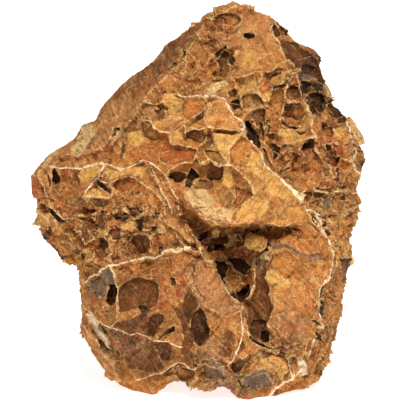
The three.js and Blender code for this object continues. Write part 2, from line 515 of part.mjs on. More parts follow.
// Hollows and the rims between them: the hollows are scattered places, the rims their Voronoi corners.
function brokenGround(ring, texture, height, outward, seed) {
  const random = randomRow(seed);
  const sites = [];
  for (let n = 0; n < SITE_TRIES; n++) {
    const place = [FIELD_WIDTH * (random() - 0.5), FIELD_HEIGHT * random()];
    const { spacing } = textureAt(texture, place);
    const free = sites.every((site) => flatDistance(site, place) > spacing);
    if (free && isInside(ring, ...place)) sites.push(place);
  }
  const levelled = ([u, v], rise) => [u, v, height(u, v) + outward * rise];
  const hollows = sites.map((site) => {
    const { depth } = textureAt(texture, site);
    return levelled(site, -depth * THREE.MathUtils.lerp(...HOLLOW_SHARE, random()));
  });
  const rims = triangulated(sites)
    .map((ids) => circleThrough(...ids.map((id) => sites[id])).centre)
    .filter(([u, v]) => isInside(ring, u, v))
    .map((corner) => {
      const { depth } = textureAt(texture, corner);
      return levelled(corner, depth * THREE.MathUtils.lerp(...RIM_SHARE, random()));
    });
  return [...hollows, ...rims];
}

// Splits each edge that joins two silhouette points across the stone, so that front and back share no edge.
function withoutChords(points, faces, ringSize, outward) {
  const midpoints = new Map();
  const isChord = (i, j) => {
    const apart = Math.abs(i - j);
    return i < ringSize && j < ringSize && apart !== 1 && apart !== ringSize - 1;
  };
  const midpointOf = (i, j) => {
    const key = i < j ? `${i},${j}` : `${j},${i}`;
    if (!midpoints.has(key)) {
      const point = middle(points[i], points[j]);
      point[2] += outward * CHORD_BULGE;
      midpoints.set(key, points.push(point) - 1);
    }
    return midpoints.get(key);
  };
  return faces.flatMap(function split([a, b, c]) {
    if (isChord(a, b)) {
      const m = midpointOf(a, b);
      return [...split([a, m, c]), ...split([m, b, c])];
    }
    if (isChord(b, c)) return split([b, c, a]);
    if (isChord(c, a)) return split([c, a, b]);
    return [[a, b, c]];
  });
}

// Splits every edge that is longer than LONGEST_EDGE, for both of its triangles.
function refined(points, faces) {
  const midpoints = new Map();
  const distance = (i, j) => Math.hypot(...points[i].map((value, axis) => value - points[j][axis]));
  const midpointOf = (i, j) => {
    const key = i < j ? `${i},${j}` : `${j},${i}`;
    if (!midpoints.has(key)) midpoints.set(key, points.push(middle(points[i], points[j])) - 1);
    return midpoints.get(key);
  };
  return faces.flatMap((ids) => {
    // The longest edge comes first, so that the corner across from it is the third.
    const lengths = ids.map((id, k) => distance(id, ids[(k + 1) % 3]));
    const first = lengths.indexOf(Math.max(...lengths));
    const [a, b, c] = [0, 1, 2].map((k) => ids[(first + k) % 3]);
    const [ab, bc, ca] = [[a, b], [b, c], [c, a]].map(([i, j]) => (
      distance(i, j) > LONGEST_EDGE ? midpointOf(i, j) : null));
    if (ab === null) return [[a, b, c]];
    const left = ca === null ? [[a, ab, c]] : [[a, ab, ca], [ca, ab, c]];
    const right = bc === null ? [[ab, b, c]] : [[ab, b, bc], [ab, bc, c]];
    return [...left, ...right];
  });
}

// How far a point lies from a scoop's middle, as a share of the scoop's reach that way.
function shareOf({ at, half, turn }, point) {
  const angle = THREE.MathUtils.degToRad(turn);
  const [du, dv] = [point[0] - at[0], point[1] - at[1]];
  return Math.hypot(
    (du * Math.cos(angle) + dv * Math.sin(angle)) / half[0],
    (dv * Math.cos(angle) - du * Math.sin(angle)) / half[1]);
}

// A scoop's rim, slope and middle, below the given heights.
function bowlOf({ at, half, depth, turn }, height, outward) {
  const angle = THREE.MathUtils.degToRad(turn);
  return SCOOP_RINGS.flatMap(({ reach, share, count }) => Array.from({ length: count }, (_, k) => {
    const along = (2 * Math.PI * k) / count;
    const [du, dv] = [half[0] * reach * Math.cos(along), half[1] * reach * Math.sin(along)];
    const u = at[0] + du * Math.cos(angle) - dv * Math.sin(angle);
    const v = at[1] + du * Math.sin(angle) + dv * Math.cos(angle);
    return [u, v, height(u, v) - outward * depth * share];
  }));
}

// One side of the stone over the ring: its points, the ring's first, its triangles, and its height.
function side({ ring, steps, creases, spots, scoops, texture, outward, seed }) {
  const feet = steps.map((step) => footOf(step, outward));
  const lines = [...steps.map((step) => step.line), ...creases, ...feet];
  const linePoints = lines.flatMap((line) => densified(line, LINE_STEP));
  const laid = spaced(ring, [...ring], [...linePoints, ...spots], LINE_GAP);
  const laidHeight = heightOver(laid);
  const shoulder = shoulderOf(ring, outward, randomRow(seed + 1)).map(([u, v, w]) => (
    [u, v, outward * Math.max(outward * w, outward * laidHeight(u, v) + SHOULDER_LEAST)]));
  const plain = spaced(ring, laid, shoulder, SHOULDER_GAP);
  const clearOfScoops = (point) => scoops.every((scoop) => shareOf(scoop, point) > SCOOP_CLEAR);
  const open = plain.filter((point, i) => i < ring.length || clearOfScoops(point));
  const plainHeight = heightOver(plain);
  const bowls = scoops.flatMap((scoop) => bowlOf(scoop, plainHeight, outward));
  const shaped = spaced(ring, open, bowls, LINE_GAP);
  const height = heightOver(shaped);
  const ground = brokenGround(ring, texture, height, outward, seed);
  const points = spaced(ring, [...shaped], ground, POINT_GAP);
  const faces = triangulated(points).filter((ids) => {
    const [a, b, c] = ids.map((id) => points[id]);
    return isInside(ring, (a[0] + b[0] + c[0]) / 3, (a[1] + b[1] + c[1]) / 3);
  });
  return { points, faces: withoutChords(points, faces, ring.length, outward), height };
}

// Moves a point a little, alike for near points, so that no line stays straight. The back moves further.
function roughened(point) {
  const backShare = THREE.MathUtils.smoothstep(-point[2], -BACK_FROM, -BACK_FULL);
  return point.map((value, axis) => {
    const noiseAt = (scale) => noise.noise(...point.map((p) => p / scale + NOISE_STRIDE * (axis + 1)));
    return value + ROUGH_REACH * noiseAt(ROUGH_SCALE) + FINE_REACH * noiseAt(FINE_SCALE)
      + BACK_REACH * backShare * noiseAt(BACK_SCALE);
  });
}

const wasm = await Module();
wasm.setup();

function solidOf(geometry) {
  const bare = geometry.clone();
  bare.deleteAttribute('normal');
  bare.deleteAttribute('uv');
  const merged = mergeVertices(bare, WELD_DISTANCE);
  return new wasm.Manifold(new wasm.Mesh({
    numProp: 3,
    vertProperties: merged.attributes.position.array,
    triVerts: new Uint32Array(merged.index.array),
  }));
}

// An irregular rounded lump of rock, or the hollow that one leaves.
function lumpSolid(centre, half, turn, detail) {
  const geometry = new THREE.IcosahedronGeometry(1, detail);
  const positions = geometry.attributes.position;
  const turned = new THREE.Matrix4().makeRotationZ(THREE.MathUtils.degToRad(turn));
  for (let i = 0; i < positions.count; i++) {
    const ray = new THREE.Vector3().fromBufferAttribute(positions, i);
    const swell = 1 + LUMP_SWELL * noise.noise(
      ...ray.toArray().map((value, axis) => value * LUMP_SCALE + centre[axis]));
    ray.multiply(new THREE.Vector3(...half)).multiplyScalar(swell).applyMatrix4(turned);
    positions.setXYZ(i, ...toPart(ray.toArray().map((value, axis) => value + centre[axis])));
  }
  return solidOf(geometry);
}

// The whole stone: front and back joined along the silhouette, holes cut, lumps added, feet cut flat.
function stoneSolid() {
  const ring = settledRing(SILHOUETTE);
  const front = side({
    ring, steps: STEPS, creases: CREASES, spots: SPOTS, scoops: SCOOPS, texture: FRONT_TEXTURE,
    outward: 1, seed: FRONT_SEED,
  });
  const back = side({
    ring, steps: BACK_STEPS, creases: BACK, spots: [...UNDERSIDE, ...BACK_SPOTS], scoops: BACK_SCOOPS,
    texture: BACK_TEXTURE, outward: -1, seed: BACK_SEED,
  });

  const points = [...front.points, ...back.points.slice(ring.length)];
  const shift = front.points.length - ring.length;
  const backFaces = back.faces.map((ids) => ids.map((id) => (id < ring.length ? id : id + shift)).reverse());
  let faces = [...front.faces, ...backFaces];
  for (let round = 0; round < REFINING_ROUNDS; round++) faces = refined(points, faces);
  const geometry = new THREE.BufferGeometry();
  geometry.setAttribute('position', new THREE.Float32BufferAttribute(
    points.flatMap((point) => toPart(roughened(point))), 3));
  geometry.setIndex(faces.flat());

  let stone = solidOf(geometry);
  for (const { at, half, depth, turn } of HOLES) {
    stone = stone.subtract(lumpSolid([...at, front.height(...at)], [...half, depth], turn, 0));
  }
  for (const { at, half } of UNDERCUTS) stone = stone.subtract(lumpSolid(at, half, 0, 1));
  for (const { at, half } of LUMPS) stone = stone.add(lumpSolid(at, half, 0, 1));

  const floor = new THREE.BoxGeometry(FLOOR_BLOCK, FLOOR_BLOCK, FLOOR_BLOCK);
  floor.translate(0, 0, FLOOR_HEIGHT - FLOOR_BLOCK / 2);
  return stone.subtract(solidOf(floor));
}

// The solid's surface, set down on its feet with the middle of its box over the origin.
function stoneGeometry() {
  const mesh = stoneSolid().getMesh();
  const geometry = new THREE.BufferGeometry();
  geometry.setAttribute('position', new THREE.BufferAttribute(mesh.vertProperties.slice(), 3));
  geometry.setIndex(new THREE.BufferAttribute(mesh.triVerts.slice(), 1));
  geometry.computeBoundingBox();
  const box = geometry.boundingBox;
  geometry.translate(-(box.min.x + box.max.x) / 2, -(box.min.y + box.max.y) / 2, -box.min.z);
  return geometry;
}

const material = new THREE.MeshStandardMaterial({ color: STONE_COLOUR, roughness: 0.9, metalness: 0 });
material.flatShading = true;
const stone = new THREE.Mesh(stoneGeometry(), material);
stone.name = 'stone';

const part = new THREE.Group();
part.name = 'ornamental_stone';
part.add(stone);

export default part;
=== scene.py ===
"""A leaf-textured ornamental stone: one rough, iron-stained stone with thin pale veins.

The stone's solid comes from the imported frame. A copy of it gets the fine surface here: open cells with thin
walls, leafy crests, pits and grain. No operator shapes such a surface by hand, so the copy is remeshed
finely and every point is pushed along its normal by one relief, and the finish reads the same relief for its
colours. Places on the front are given on the picture plane: u to the right and v up from the middle of the
photo's lower edge, as the eye sees them. They are in millimetres for grounds and stains, and in half
millimetres for crests and broken faces.
"""

import json
import logging
import math
from dataclasses import dataclass, field
from enum import Enum

import bpy
import numpy as np
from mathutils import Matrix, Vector, noise

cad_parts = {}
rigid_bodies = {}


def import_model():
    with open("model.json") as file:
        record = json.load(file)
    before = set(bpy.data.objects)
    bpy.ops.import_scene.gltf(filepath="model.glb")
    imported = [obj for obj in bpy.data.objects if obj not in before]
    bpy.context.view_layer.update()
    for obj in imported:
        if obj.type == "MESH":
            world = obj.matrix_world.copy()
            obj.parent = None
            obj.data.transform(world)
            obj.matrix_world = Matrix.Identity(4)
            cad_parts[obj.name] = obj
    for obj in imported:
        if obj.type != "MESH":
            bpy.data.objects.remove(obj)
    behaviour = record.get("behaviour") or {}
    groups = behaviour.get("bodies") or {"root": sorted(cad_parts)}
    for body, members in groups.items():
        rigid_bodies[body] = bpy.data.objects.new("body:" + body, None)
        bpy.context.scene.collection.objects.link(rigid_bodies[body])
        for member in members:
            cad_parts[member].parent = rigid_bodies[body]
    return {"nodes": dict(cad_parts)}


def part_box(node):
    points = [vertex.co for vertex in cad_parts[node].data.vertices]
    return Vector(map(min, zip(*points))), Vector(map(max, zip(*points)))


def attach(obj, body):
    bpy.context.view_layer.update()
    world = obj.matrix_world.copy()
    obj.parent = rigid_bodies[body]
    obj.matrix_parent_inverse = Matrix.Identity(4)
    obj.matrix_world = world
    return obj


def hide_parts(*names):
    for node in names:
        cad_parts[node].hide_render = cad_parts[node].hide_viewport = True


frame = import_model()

LOG = logging.getLogger("stone")
MM = 0.001
NODE = "stone"
BODY = "root"

Colour = tuple[float, float, float]


class Tone(Enum):
    """The stone's colours (red, green and blue from 0 to 255); BARK and UMBER also serve as painted shade."""

    OCHRE = (196, 124, 56)
    GOLD = (215, 163, 86)
    CREAM = (228, 190, 128)
    CHALK = (242, 218, 182)
    TAN = (200, 139, 78)
    RUST = (176, 88, 36)
    BRICK = (146, 74, 36)
    UMBER = (86, 47, 23)
    BARK = (38, 20, 10)
    MAUVE = (168, 110, 66)
    GREY = (108, 90, 75)
    OLIVE = (140, 99, 50)

    def linear(self) -> Colour:
        """The colour as the shader counts light."""
        return tuple(screen_to_light(part / 255.0) for part in self.value)


OCHRE, GOLD, CREAM, CHALK, TAN, RUST, BRICK, UMBER, BARK, MAUVE, GREY, OLIVE = Tone


def screen_to_light(part: float) -> float:
    """Turns one channel of a screen colour into light.

    Args:
        part: the channel, from 0 to 1.

    Returns:
        The same channel as light.
    """
    return part / 12.92 if part <= 0.04045 else ((part + 0.055) / 1.055) ** 2.4


def rows_of(places: tuple[int, ...]) -> np.ndarray:
    """Turns places on the picture plane into rows.

    Args:
        places: u and v by turns, in half millimetres.

    Returns:
        A row of u and v in millimetres for each place.
    """
    return np.array(places, float).reshape(-1, 2) / 2.0


@dataclass(frozen=True)
class PicturePlane:
    """The plane that the photo's places lie on, and where the solid stands against it."""

    eye_tilt: float = math.radians(12.0)
    solid_shift: tuple[float, float, float] = (0.619, -15.724, -9.6)
    photo_pixels: float = 400.0
    pixel: float = 0.5

    def seen(self, points: np.ndarray) -> np.ndarray:
        """Gives points of the frame their places on the plane.

        Args:
            points: one row of x, y and z in millimetres for each point.

        Returns:
            One row of u, v and the depth towards the eye for each point.
        """
        x, y, z = (points - np.array(self.solid_shift)).T
        tilt_sin, tilt_cos = math.sin(self.eye_tilt), math.cos(self.eye_tilt)
        return np.stack([x, y * tilt_sin + z * tilt_cos, z * tilt_sin - y * tilt_cos], axis=1)

    def towards_eye(self) -> Vector:
        """The direction from the stone to the eye."""
        return Vector((0.0, -math.cos(self.eye_tilt), math.sin(self.eye_tilt)))

    def middle(self) -> Vector:
        """The point of the frame, in metres, that shows in the middle of the photo."""
        height = self.photo_pixels * self.pixel / 2.0
        up = Vector((0.0, math.sin(self.eye_tilt), math.cos(self.eye_tilt)))
        return (up * height + Vector(self.solid_shift)) * MM


@dataclass(frozen=True)
class Crest:
    """A thin leafy edge that stands proud of the stone.

    Its line is given as u and v by turns, in half millimetres.
    """

    line: tuple[int, ...]
    pale: float = 0.6
    proud: float = 0.6
    broad: float = 0.45
    drop: float = 1.6


@dataclass(frozen=True)
class Spot:
    """A round or long place on the front, with soft edges."""

    u: float
    v: float
    wide: float
    tall: float
    turn: float = 0.0

    def reach(self, seen: np.ndarray) -> np.ndarray:
        """Measures how far points are from the spot's middle.

        Args:
            seen: one row of u, v and depth for each point.

        Returns:
            The distance of each, where 1 is the spot's edge.
        """
        across, along = seen[:, 0] - self.u, seen[:, 1] - self.v
        turn = math.radians(self.turn)
        long = across * math.cos(turn) + along * math.sin(turn)
        short = along * math.cos(turn) - across * math.sin(turn)
        return np.hypot(long / self.wide, short / self.tall)


@dataclass(frozen=True)
class Ground:
    """A stretch of the front with its own roughness: how strong each size of cell is there.

    Its streaks rise or fall to the right.
    """

    spot: Spot
    scoop: float
    cell: float
    grit: float
    web: float = 0.6
    rising: float = 0.0
    falling: float = 0.1


@dataclass(frozen=True)
class Stain:
    """A soft patch of colour."""

    spot: Spot
    tone: Tone
    share: float = 0.8


@dataclass(frozen=True)
class Facet:
    """A flat broken face of the front: its tone, how far back it lies, its corners and how it leans.

    The corners are u and v by turns, in half millimetres. A face with a lean above 0 goes deeper towards its
    upper edge. The tones carry painted shade and light: dark faces in holes and gaps stand in for the shade
    there, and two pale faces in shade are painted lighter.
    """

    tone: Tone
    deep: float
    corners: tuple[int, ...]
    lean: float = 0.2
    share: float = 0.85

    def outline(self) -> np.ndarray:
        """The corners, a row of u and v each."""
        return rows_of(self.corners)

    def inward(self, spots: np.ndarray) -> np.ndarray:
        """Measures how far inside the face's edge points are.

        Args:
            spots: one row of u and v for each point.

        Returns:
            The distance of each from the edge, below 0 outside.
        """
        inside = np.zeros(len(spots), bool)
        gap = np.full(len(spots), np.inf)
        corners = self.outline()
        for start, end in zip(corners, np.roll(corners, -1, axis=0)):
            run, away = end - start, spots - start
            share = np.clip(away @ run / (run @ run), 0.0, 1.0)
            offset = away - share[:, None] * run
            gap = np.minimum(gap, np.hypot(offset[:, 0], offset[:, 1]))
            crosses = (start[1] > spots[:, 1]) != (end[1] > spots[:, 1])
            rise = run[1] if run[1] else 1.0
            inside ^= crosses & (spots[:, 0] < start[0] + away[:, 1] * run[0] / rise)
        return np.where(inside, gap, -gap)


@dataclass(frozen=True)
class CellLevel:
    """One size of open cell: its width and depth, and how its walls wander, in millimetres."""

    size: float
    deep: float
    wander: float
    lean: float = 0.9
    overhang: float = 0.9
    wall: float = 0.2
    rim: float = 0.5
    open: float = 0.4
    shift: tuple[float, float, float] = (0.0, 0.0, 0.0)


SCOOPS = CellLevel(size=10.5, deep=2.6, wander=3.6, rim=0.8, wall=0.24, open=0.12)
PLATES = CellLevel(size=19.0, deep=3.4, wander=5.5, rim=0.9, wall=0.2, open=0.1, shift=(11.0, 3.0, 29.0))
CELLS = CellLevel(size=5.2, deep=1.7, wander=2.2, rim=0.55, open=0.3, shift=(31.0, 7.0, 13.0))
GRIT = CellLevel(size=2.3, deep=0.7, wander=1.0, rim=0.35, open=0.25, shift=(5.0, 43.0, 17.0))

LEVELS = {"plate": PLATES, "scoop": SCOOPS, "cell": CELLS, "grit": GRIT}
STREAKS = {"rising": math.radians(-45.0), "falling": math.radians(55.0)}
STREAK_WIDE, STREAK_LONG = 1.3, 11.0

CRESTS = (
    # The cap and the right edge below it
    Crest((41, 377, 38, 373, 40, 366, 29, 363, 25, 357, 27, 352, 34, 350, 35, 341, 37, 334, 34, 327, 32,
          322), 0.25, 0.7),
    Crest((40, 366, 41, 360, 44, 352, 47, 344), 0.2, 0.4),
    Crest((74, 376, 73, 364, 78, 357, 80, 350, 85, 342, 92, 337, 96, 328, 99, 316, 101, 303, 106, 293, 111,
          281, 110, 272, 114, 265, 115, 249, 122, 239, 128, 234), 0.6, 1.0, 0.55),
    Crest((62, 328, 71, 328, 78, 334, 87, 340), 0.5, 0.7),
    Crest((49, 343, 58, 342, 68, 337, 78, 334), 0.15, 0.5),
    # The open cells under the cap
    Crest((7, 310, 17, 313, 26, 319, 32, 321, 49, 324, 55, 328, 62, 328), 0.65, 0.8),
    Crest((62, 328, 62, 321, 57, 316, 57, 307, 41, 303, 36, 309, 36, 316, 32, 321), 0.6, 0.8),
    Crest((7, 302, 17, 305, 26, 309, 36, 309), 0.5, 0.7),
    Crest((41, 303, 41, 295, 45, 286, 53, 291, 63, 293, 64, 296, 61, 302, 57, 307), 0.65, 0.9),
    Crest((33, 297, 41, 295), 0.5, 0.6),
    Crest((45, 286, 43, 278), 0.5, 0.7),
    Crest((64, 296, 70, 302, 71, 310, 73, 313, 81, 316, 87, 321, 90, 326, 96, 328), 0.6, 0.9),
    Crest((96, 328, 91, 321, 86, 313, 85, 305, 83, 296, 81, 288, 80, 279), 0.5, 0.9),
    Crest((64, 293, 66, 284, 69, 274, 70, 265), 0.5, 0.7, 0.35),
    Crest((52, 284, 57, 272, 63, 261, 67, 250, 72, 239), 0.35, 0.6, 0.35),
    Crest((64, 257, 71, 260, 78, 254, 91, 256, 104, 260, 114, 263), 0.5, 0.7),
    Crest((84, 293, 98, 296, 106, 291, 109, 279, 105, 270, 94, 268, 83, 275, 81, 284, 84, 293), 0.45, 0.8),
    Crest((73, 249, 80, 244, 87, 249, 92, 243, 88, 234, 79, 235), 0.45, 0.6),
    # The crest of the middle and its scales
    Crest((-23, 307, -17, 303, -14, 302, -4, 305, 3, 303, 17, 302, 24, 299, 28, 291, 35, 282, 43, 278, 42,
          268, 50, 258, 59, 249, 64, 235, 73, 225, 85, 215, 97, 206, 102, 200), 0.85, 1.2, 0.7),
    Crest((-61, 292, -55, 298, -48, 296, -41, 295, -37, 305, -23, 307), 0.6, 0.8),
    Crest((-63, 275, -56, 279, -49, 279, -44, 271, -38, 268, -30, 267, -20, 270, -17, 278), 0.65, 1.0),
    Crest((-61, 292, -61, 283, -63, 275), 0.4, 0.6),
    Crest((-17, 278, -14, 267, -9, 271, 0, 270, 7, 271, 11, 272, 22, 271, 34, 270, 42, 268), 0.65, 1.0),
    Crest((7, 271, 5, 282, 4, 293, 4, 303), 0.3, 0.6),
    Crest((-17, 278, -6, 283, 5, 289), 0.35, 0.6),
    Crest((-29, 265, -28, 254, -20, 254, -11, 253, -4, 251), 0.6, 0.9),
    Crest((42, 268, 34, 258, 28, 249, 29, 235), 0.65, 1.0),
    Crest((11, 272, 13, 260, 20, 249, 29, 235), 0.4, 0.6),
    Crest((-4, 251, -4, 244, 1, 236, 8, 239, 17, 235, 26, 235, 32, 233, 41, 226, 49, 218, 53, 208), 0.7,
          1.1),
    Crest((-4, 251, 4, 257, 6, 264, 7, 271), 0.4, 0.6),
    Crest((-35, 227, -27, 232, -17, 236, -7, 237, -4, 244), 0.6, 0.9),
    Crest((32, 233, 38, 245, 43, 256, 42, 268), 0.35, 0.5),
    Crest((-20, 196, -12, 192, -2, 188, 8, 181, 15, 178, 24, 175, 36, 176, 43, 178, 53, 177, 63, 177, 72,
          178, 82, 174, 93, 177), 0.5, 0.9),
    Crest((14, 219, 15, 208, 16, 197, 24, 192), 0.35, 0.5, 0.35),
    Crest((53, 208, 44, 195, 39, 186, 36, 177), 0.3, 0.5),
    Crest((70, 203, 67, 192, 59, 183, 56, 177), 0.2, 0.4, 0.35),
    # The smooth flank, its edge and its long streaks
    Crest((-90, 260, -76, 271, -62, 288, -56, 299, -44, 313, -30, 326, -14, 341, -13, 348, 0, 368, 8, 379,
          19, 386, 36, 392), 0.45, 0.8, 0.4),
    Crest((-18, 323, -13, 337, -14, 341), 0.4, 0.4, 0.3),
    # The left lobe: its ridge, its strands and its arch
    Crest((-154, 235, -142, 233, -129, 233, -119, 232, -109, 233, -96, 235, -88, 233, -79, 230, -72, 232,
          -64, 236, -56, 239, -47, 236, -38, 230, -33, 223, -28, 212, -23, 201, -21, 191), 0.8, 1.1, 0.6),
    Crest((-47, 230, -42, 220, -36, 209, -31, 198, -28, 188), 0.8, 0.9),
    Crest((-54, 234, -46, 223, -39, 212, -33, 200, -30, 192), 0.6, 0.7, 0.35),
    Crest((-88, 217, -81, 223, -73, 224, -65, 222, -56, 215, -47, 210, -40, 203, -36, 196, -35, 186), 0.6,
          0.9),
    Crest((-95, 233, -101, 225, -107, 217, -116, 205), 0.9, 0.8, 0.6),
    Crest((-116, 205, -107, 203, -98, 203, -89, 202, -86, 210, -93, 218, -103, 220), 0.65, 0.9),
    Crest((-154, 235, -160, 230, -161, 221, -156, 214, -153, 203), 0.7, 0.7),
    Crest((-149, 231, -148, 220, -145, 211, -140, 206), 0.4, 0.6),
    Crest((-141, 231, -138, 220, -140, 210), 0.4, 0.6),
    Crest((-165, 192, -160, 186, -152, 181, -149, 172), 0.7, 0.8),
    Crest((-165, 192, -157, 198, -148, 191, -138, 183, -125, 172, -116, 158, -114, 151), 0.5, 0.8),
    # Cells of the left rubble
    Crest((-116, 150, -112, 159, -105, 162, -97, 161, -91, 158, -89, 151), 0.5, 0.6),
    Crest((-78, 172, -76, 180, -67, 182, -62, 175, -68, 169, -78, 172), 0.4, 0.5),
    Crest((-74, 156, -67, 165, -55, 167, -47, 158, -50, 148), 0.5, 0.7),
    Crest((-32, 180, -26, 168, -18, 157, -11, 153), 0.5, 0.7),
    Crest((-104, 191, -92, 185, -80, 187, -68, 191, -56, 186, -40, 185), 0.3, 0.5),
    Crest((-136, 168, -122, 152, -109, 136, -100, 132), 0.3, 0.6),
    # The boulder
    Crest((-116, 118, -109, 124, -98, 129, -92, 135, -79, 137, -68, 140, -58, 142, -45, 142, -38, 145, -32,
          149, -18, 152, -8, 151, -4, 150), 0.95, 1.0, 0.65),
    Crest((-21, 183, -14, 179, -8, 169, -3, 159, 2, 147, 5, 141, 13, 136, 21, 122, 24, 113, 32, 105, 39, 98,
          42, 97), 0.75, 0.9, 0.45),
    Crest((-91, 135, -86, 127, -83, 115, -82, 104, -82, 92, -81, 81, -89, 73), 0.7, 0.9, 0.5),
    Crest((-102, 78, -89, 73, -69, 67, -61, 69, -46, 61, -30, 59, -17, 55), 0.8, 0.6, 0.4),
    Crest((-63, 21, -50, 26, -38, 29, -25, 36, -19, 38, -6, 32), 0.8, 0.8),
    Crest((-117, 77, -103, 60, -98, 49, -89, 38, -80, 21), 0.6, 0.8, 0.6),
    Crest((-117, 94, -106, 86, -97, 69, -89, 52), 0.7, 0.7, 0.5),
    Crest((-116, 118, -119, 106, -117, 94, -117, 77), 0.5, 0.7),
    Crest((-16, 123, -7, 111, 1, 97, 12, 90, 27, 85, 39, 90), 0.35, 0.6),
    Crest((28, 36, 16, 33, 4, 38, -6, 32), 0.6, 0.5, 0.35),
    Crest((10, 60, 19, 52, 25, 42, 28, 36), 0.3, 0.4, 0.3),
    # The veins between the boulder and the block, and the block
    Crest((42, 97, 39, 90, 41, 80, 42, 71, 41, 62, 38, 53, 35, 46, 31, 39, 28, 36), 1.0, 0.7, 0.5),
    Crest((43, 94, 48, 85, 46, 71, 51, 62, 59, 54, 70, 50, 79, 46, 84, 43, 93, 45), 0.65, 0.7),
    Crest((55, 127, 53, 116, 51, 108, 45, 101, 42, 97), 0.8, 0.8, 0.5),
    Crest((70, 148, 67, 136, 67, 125, 70, 113, 70, 101, 70, 85, 65, 76), 0.15, 0.5, 0.7),
    Crest((70, 150, 79, 151, 87, 150, 94, 144, 101, 140, 113, 137, 121, 137), 0.3, 0.7),
    Crest((84, 43, 90, 32, 93, 25, 87, 19, 79, 14, 72, 11), 0.8, 0.7),
    Crest((35, 46, 44, 42, 53, 47, 59, 54), 0.4, 0.5),
    Crest((28, 36, 38, 27, 52, 25, 66, 29, 73, 18, 72, 11), 0.35, 0.5),
    # The long pale ridge on the right, and the lobe above it
    Crest((79, 220, 96, 205, 107, 193, 117, 188, 119, 178, 122, 168, 127, 158, 130, 150, 132, 146, 130, 140,
          130, 132, 127, 123, 121, 115, 118, 109, 119, 99, 120, 90, 121, 80, 120, 71, 115, 62, 110, 52, 104,
          40, 101, 32, 93, 24, 84, 18, 76, 14, 70, 7, 66, 1), 1.0, 1.1, 0.8),
    Crest((97, 207, 107, 209, 118, 208, 130, 207, 139, 209, 148, 209, 156, 207), 0.75, 0.8),
    Crest((124, 193, 127, 176, 133, 160, 136, 142, 133, 124), 0.55, 0.8, 0.4),
    Crest((146, 284, 153, 260, 157, 247, 152, 238, 159, 226), 0.8, 0.7, 0.6),
    Crest((118, 258, 127, 248, 137, 242, 152, 238), 0.5, 0.7),
    Crest((128, 234, 133, 224, 139, 209), 0.5, 0.7),
    Crest((124, 286, 132, 278, 140, 282, 146, 284), 0.4, 0.6),
    Crest((111, 281, 118, 289, 124, 286), 0.4, 0.6),
    Crest((129, 196, 140, 184, 149, 192, 160, 194), 0.4, 0.6),
    Crest((132, 156, 141, 144, 152, 142), 0.45, 0.6),
    Crest((127, 100, 133, 84, 132, 66, 124, 50, 114, 36), 0.5, 0.7, 0.35),
    Crest((123, 114, 131, 104, 142, 100), 0.45, 0.6),
    Crest((92, 337, 102, 341, 113, 344, 121, 338), 0.3, 0.6),
    # The thin walls of the right lobe
    Crest((134, 208, 131, 184, 135, 169, 136, 157), 0.6, 0.6, 0.35),
    Crest((121, 196, 122, 183, 131, 174, 136, 166), 0.6, 0.6, 0.35),
    Crest((144, 189, 139, 174, 141, 166), 0.5, 0.6, 0.35),
    Crest((144, 184, 152, 190, 162, 196), 0.5, 0.7),
    Crest((134, 157, 147, 143, 154, 143), 0.65, 0.6, 0.35),
    Crest((94, 205, 106, 192, 113, 179, 122, 165), 0.7, 0.7, 0.4),
    Crest((99, 316, 112, 321, 124, 316, 133, 322), 0.4, 0.7),
)

GROUNDS = (
    Ground(Spot(-40, 147, 55, 13, 44), 0.05, 0.1, 0.3, 0.1, 1.0, 0.0),
    Ground(Spot(-8, 178, 16, 9, 50), 0.15, 0.3, 0.6, 0.2, 0.7, 0.0),
    Ground(Spot(27, 180, 13, 13), 0.12, 0.22, 0.4, 0.25),
    Ground(Spot(32, 168, 13, 6), 0.1, 0.25, 0.4, 0.3),
    Ground(Spot(-8, 160, 16, 12, 40), 0.3, 0.9, 1.0, 0.5, 0.6, 0.0),
    Ground(Spot(34, 145, 22, 18), 0.2, 0.45, 0.8, 1.3),
    Ground(Spot(62, 165, 14, 20, -50), 0.25, 0.5, 0.7, 0.8),
    Ground(Spot(68, 122, 15, 20), 0.3, 0.7, 0.9, 0.6),
    Ground(Spot(-4, 128, 30, 20), 0.15, 0.3, 0.45, 1.0),
    Ground(Spot(22, 104, 28, 17, -30), 0.12, 0.25, 0.4, 0.6, 0.0, 0.6),
    Ground(Spot(-62, 110, 18, 9), 0.2, 0.6, 0.8, 0.5),
    Ground(Spot(-34, 106, 20, 10), 0.15, 0.5, 0.8, 0.7, 0.2, 0.5),
    Ground(Spot(-40, 84, 34, 16, -12), 0.35, 1.0, 0.9, 0.6),
    Ground(Spot(-70, 88, 12, 12), 0.3, 0.7, 0.9, 0.5),
    Ground(Spot(14, 76, 24, 12), 0.5, 0.9, 1.0, 0.3),
    Ground(Spot(-20, 45, 42, 34), 0.1, 0.28, 0.5, 0.7, 0.3, 0.3),
    Ground(Spot(5, 55, 10, 24, 38), 0.05, 0.1, 0.35, 0.4, 0.0, 1.0),
    Ground(Spot(46, 50, 15, 28), 0.05, 0.12, 0.35, 0.12, 0.6, 0.0),
    Ground(Spot(27, 45, 7, 18), 0.05, 0.12, 0.25, 0.2, 0.7, 0.0),
    Ground(Spot(70, 60, 8, 50, -4), 0.15, 0.45, 0.8, 0.5, 0.7, 0.3),
    Ground(Spot(22, 12, 30, 9), 0.3, 0.6, 0.8, 0.5),
)

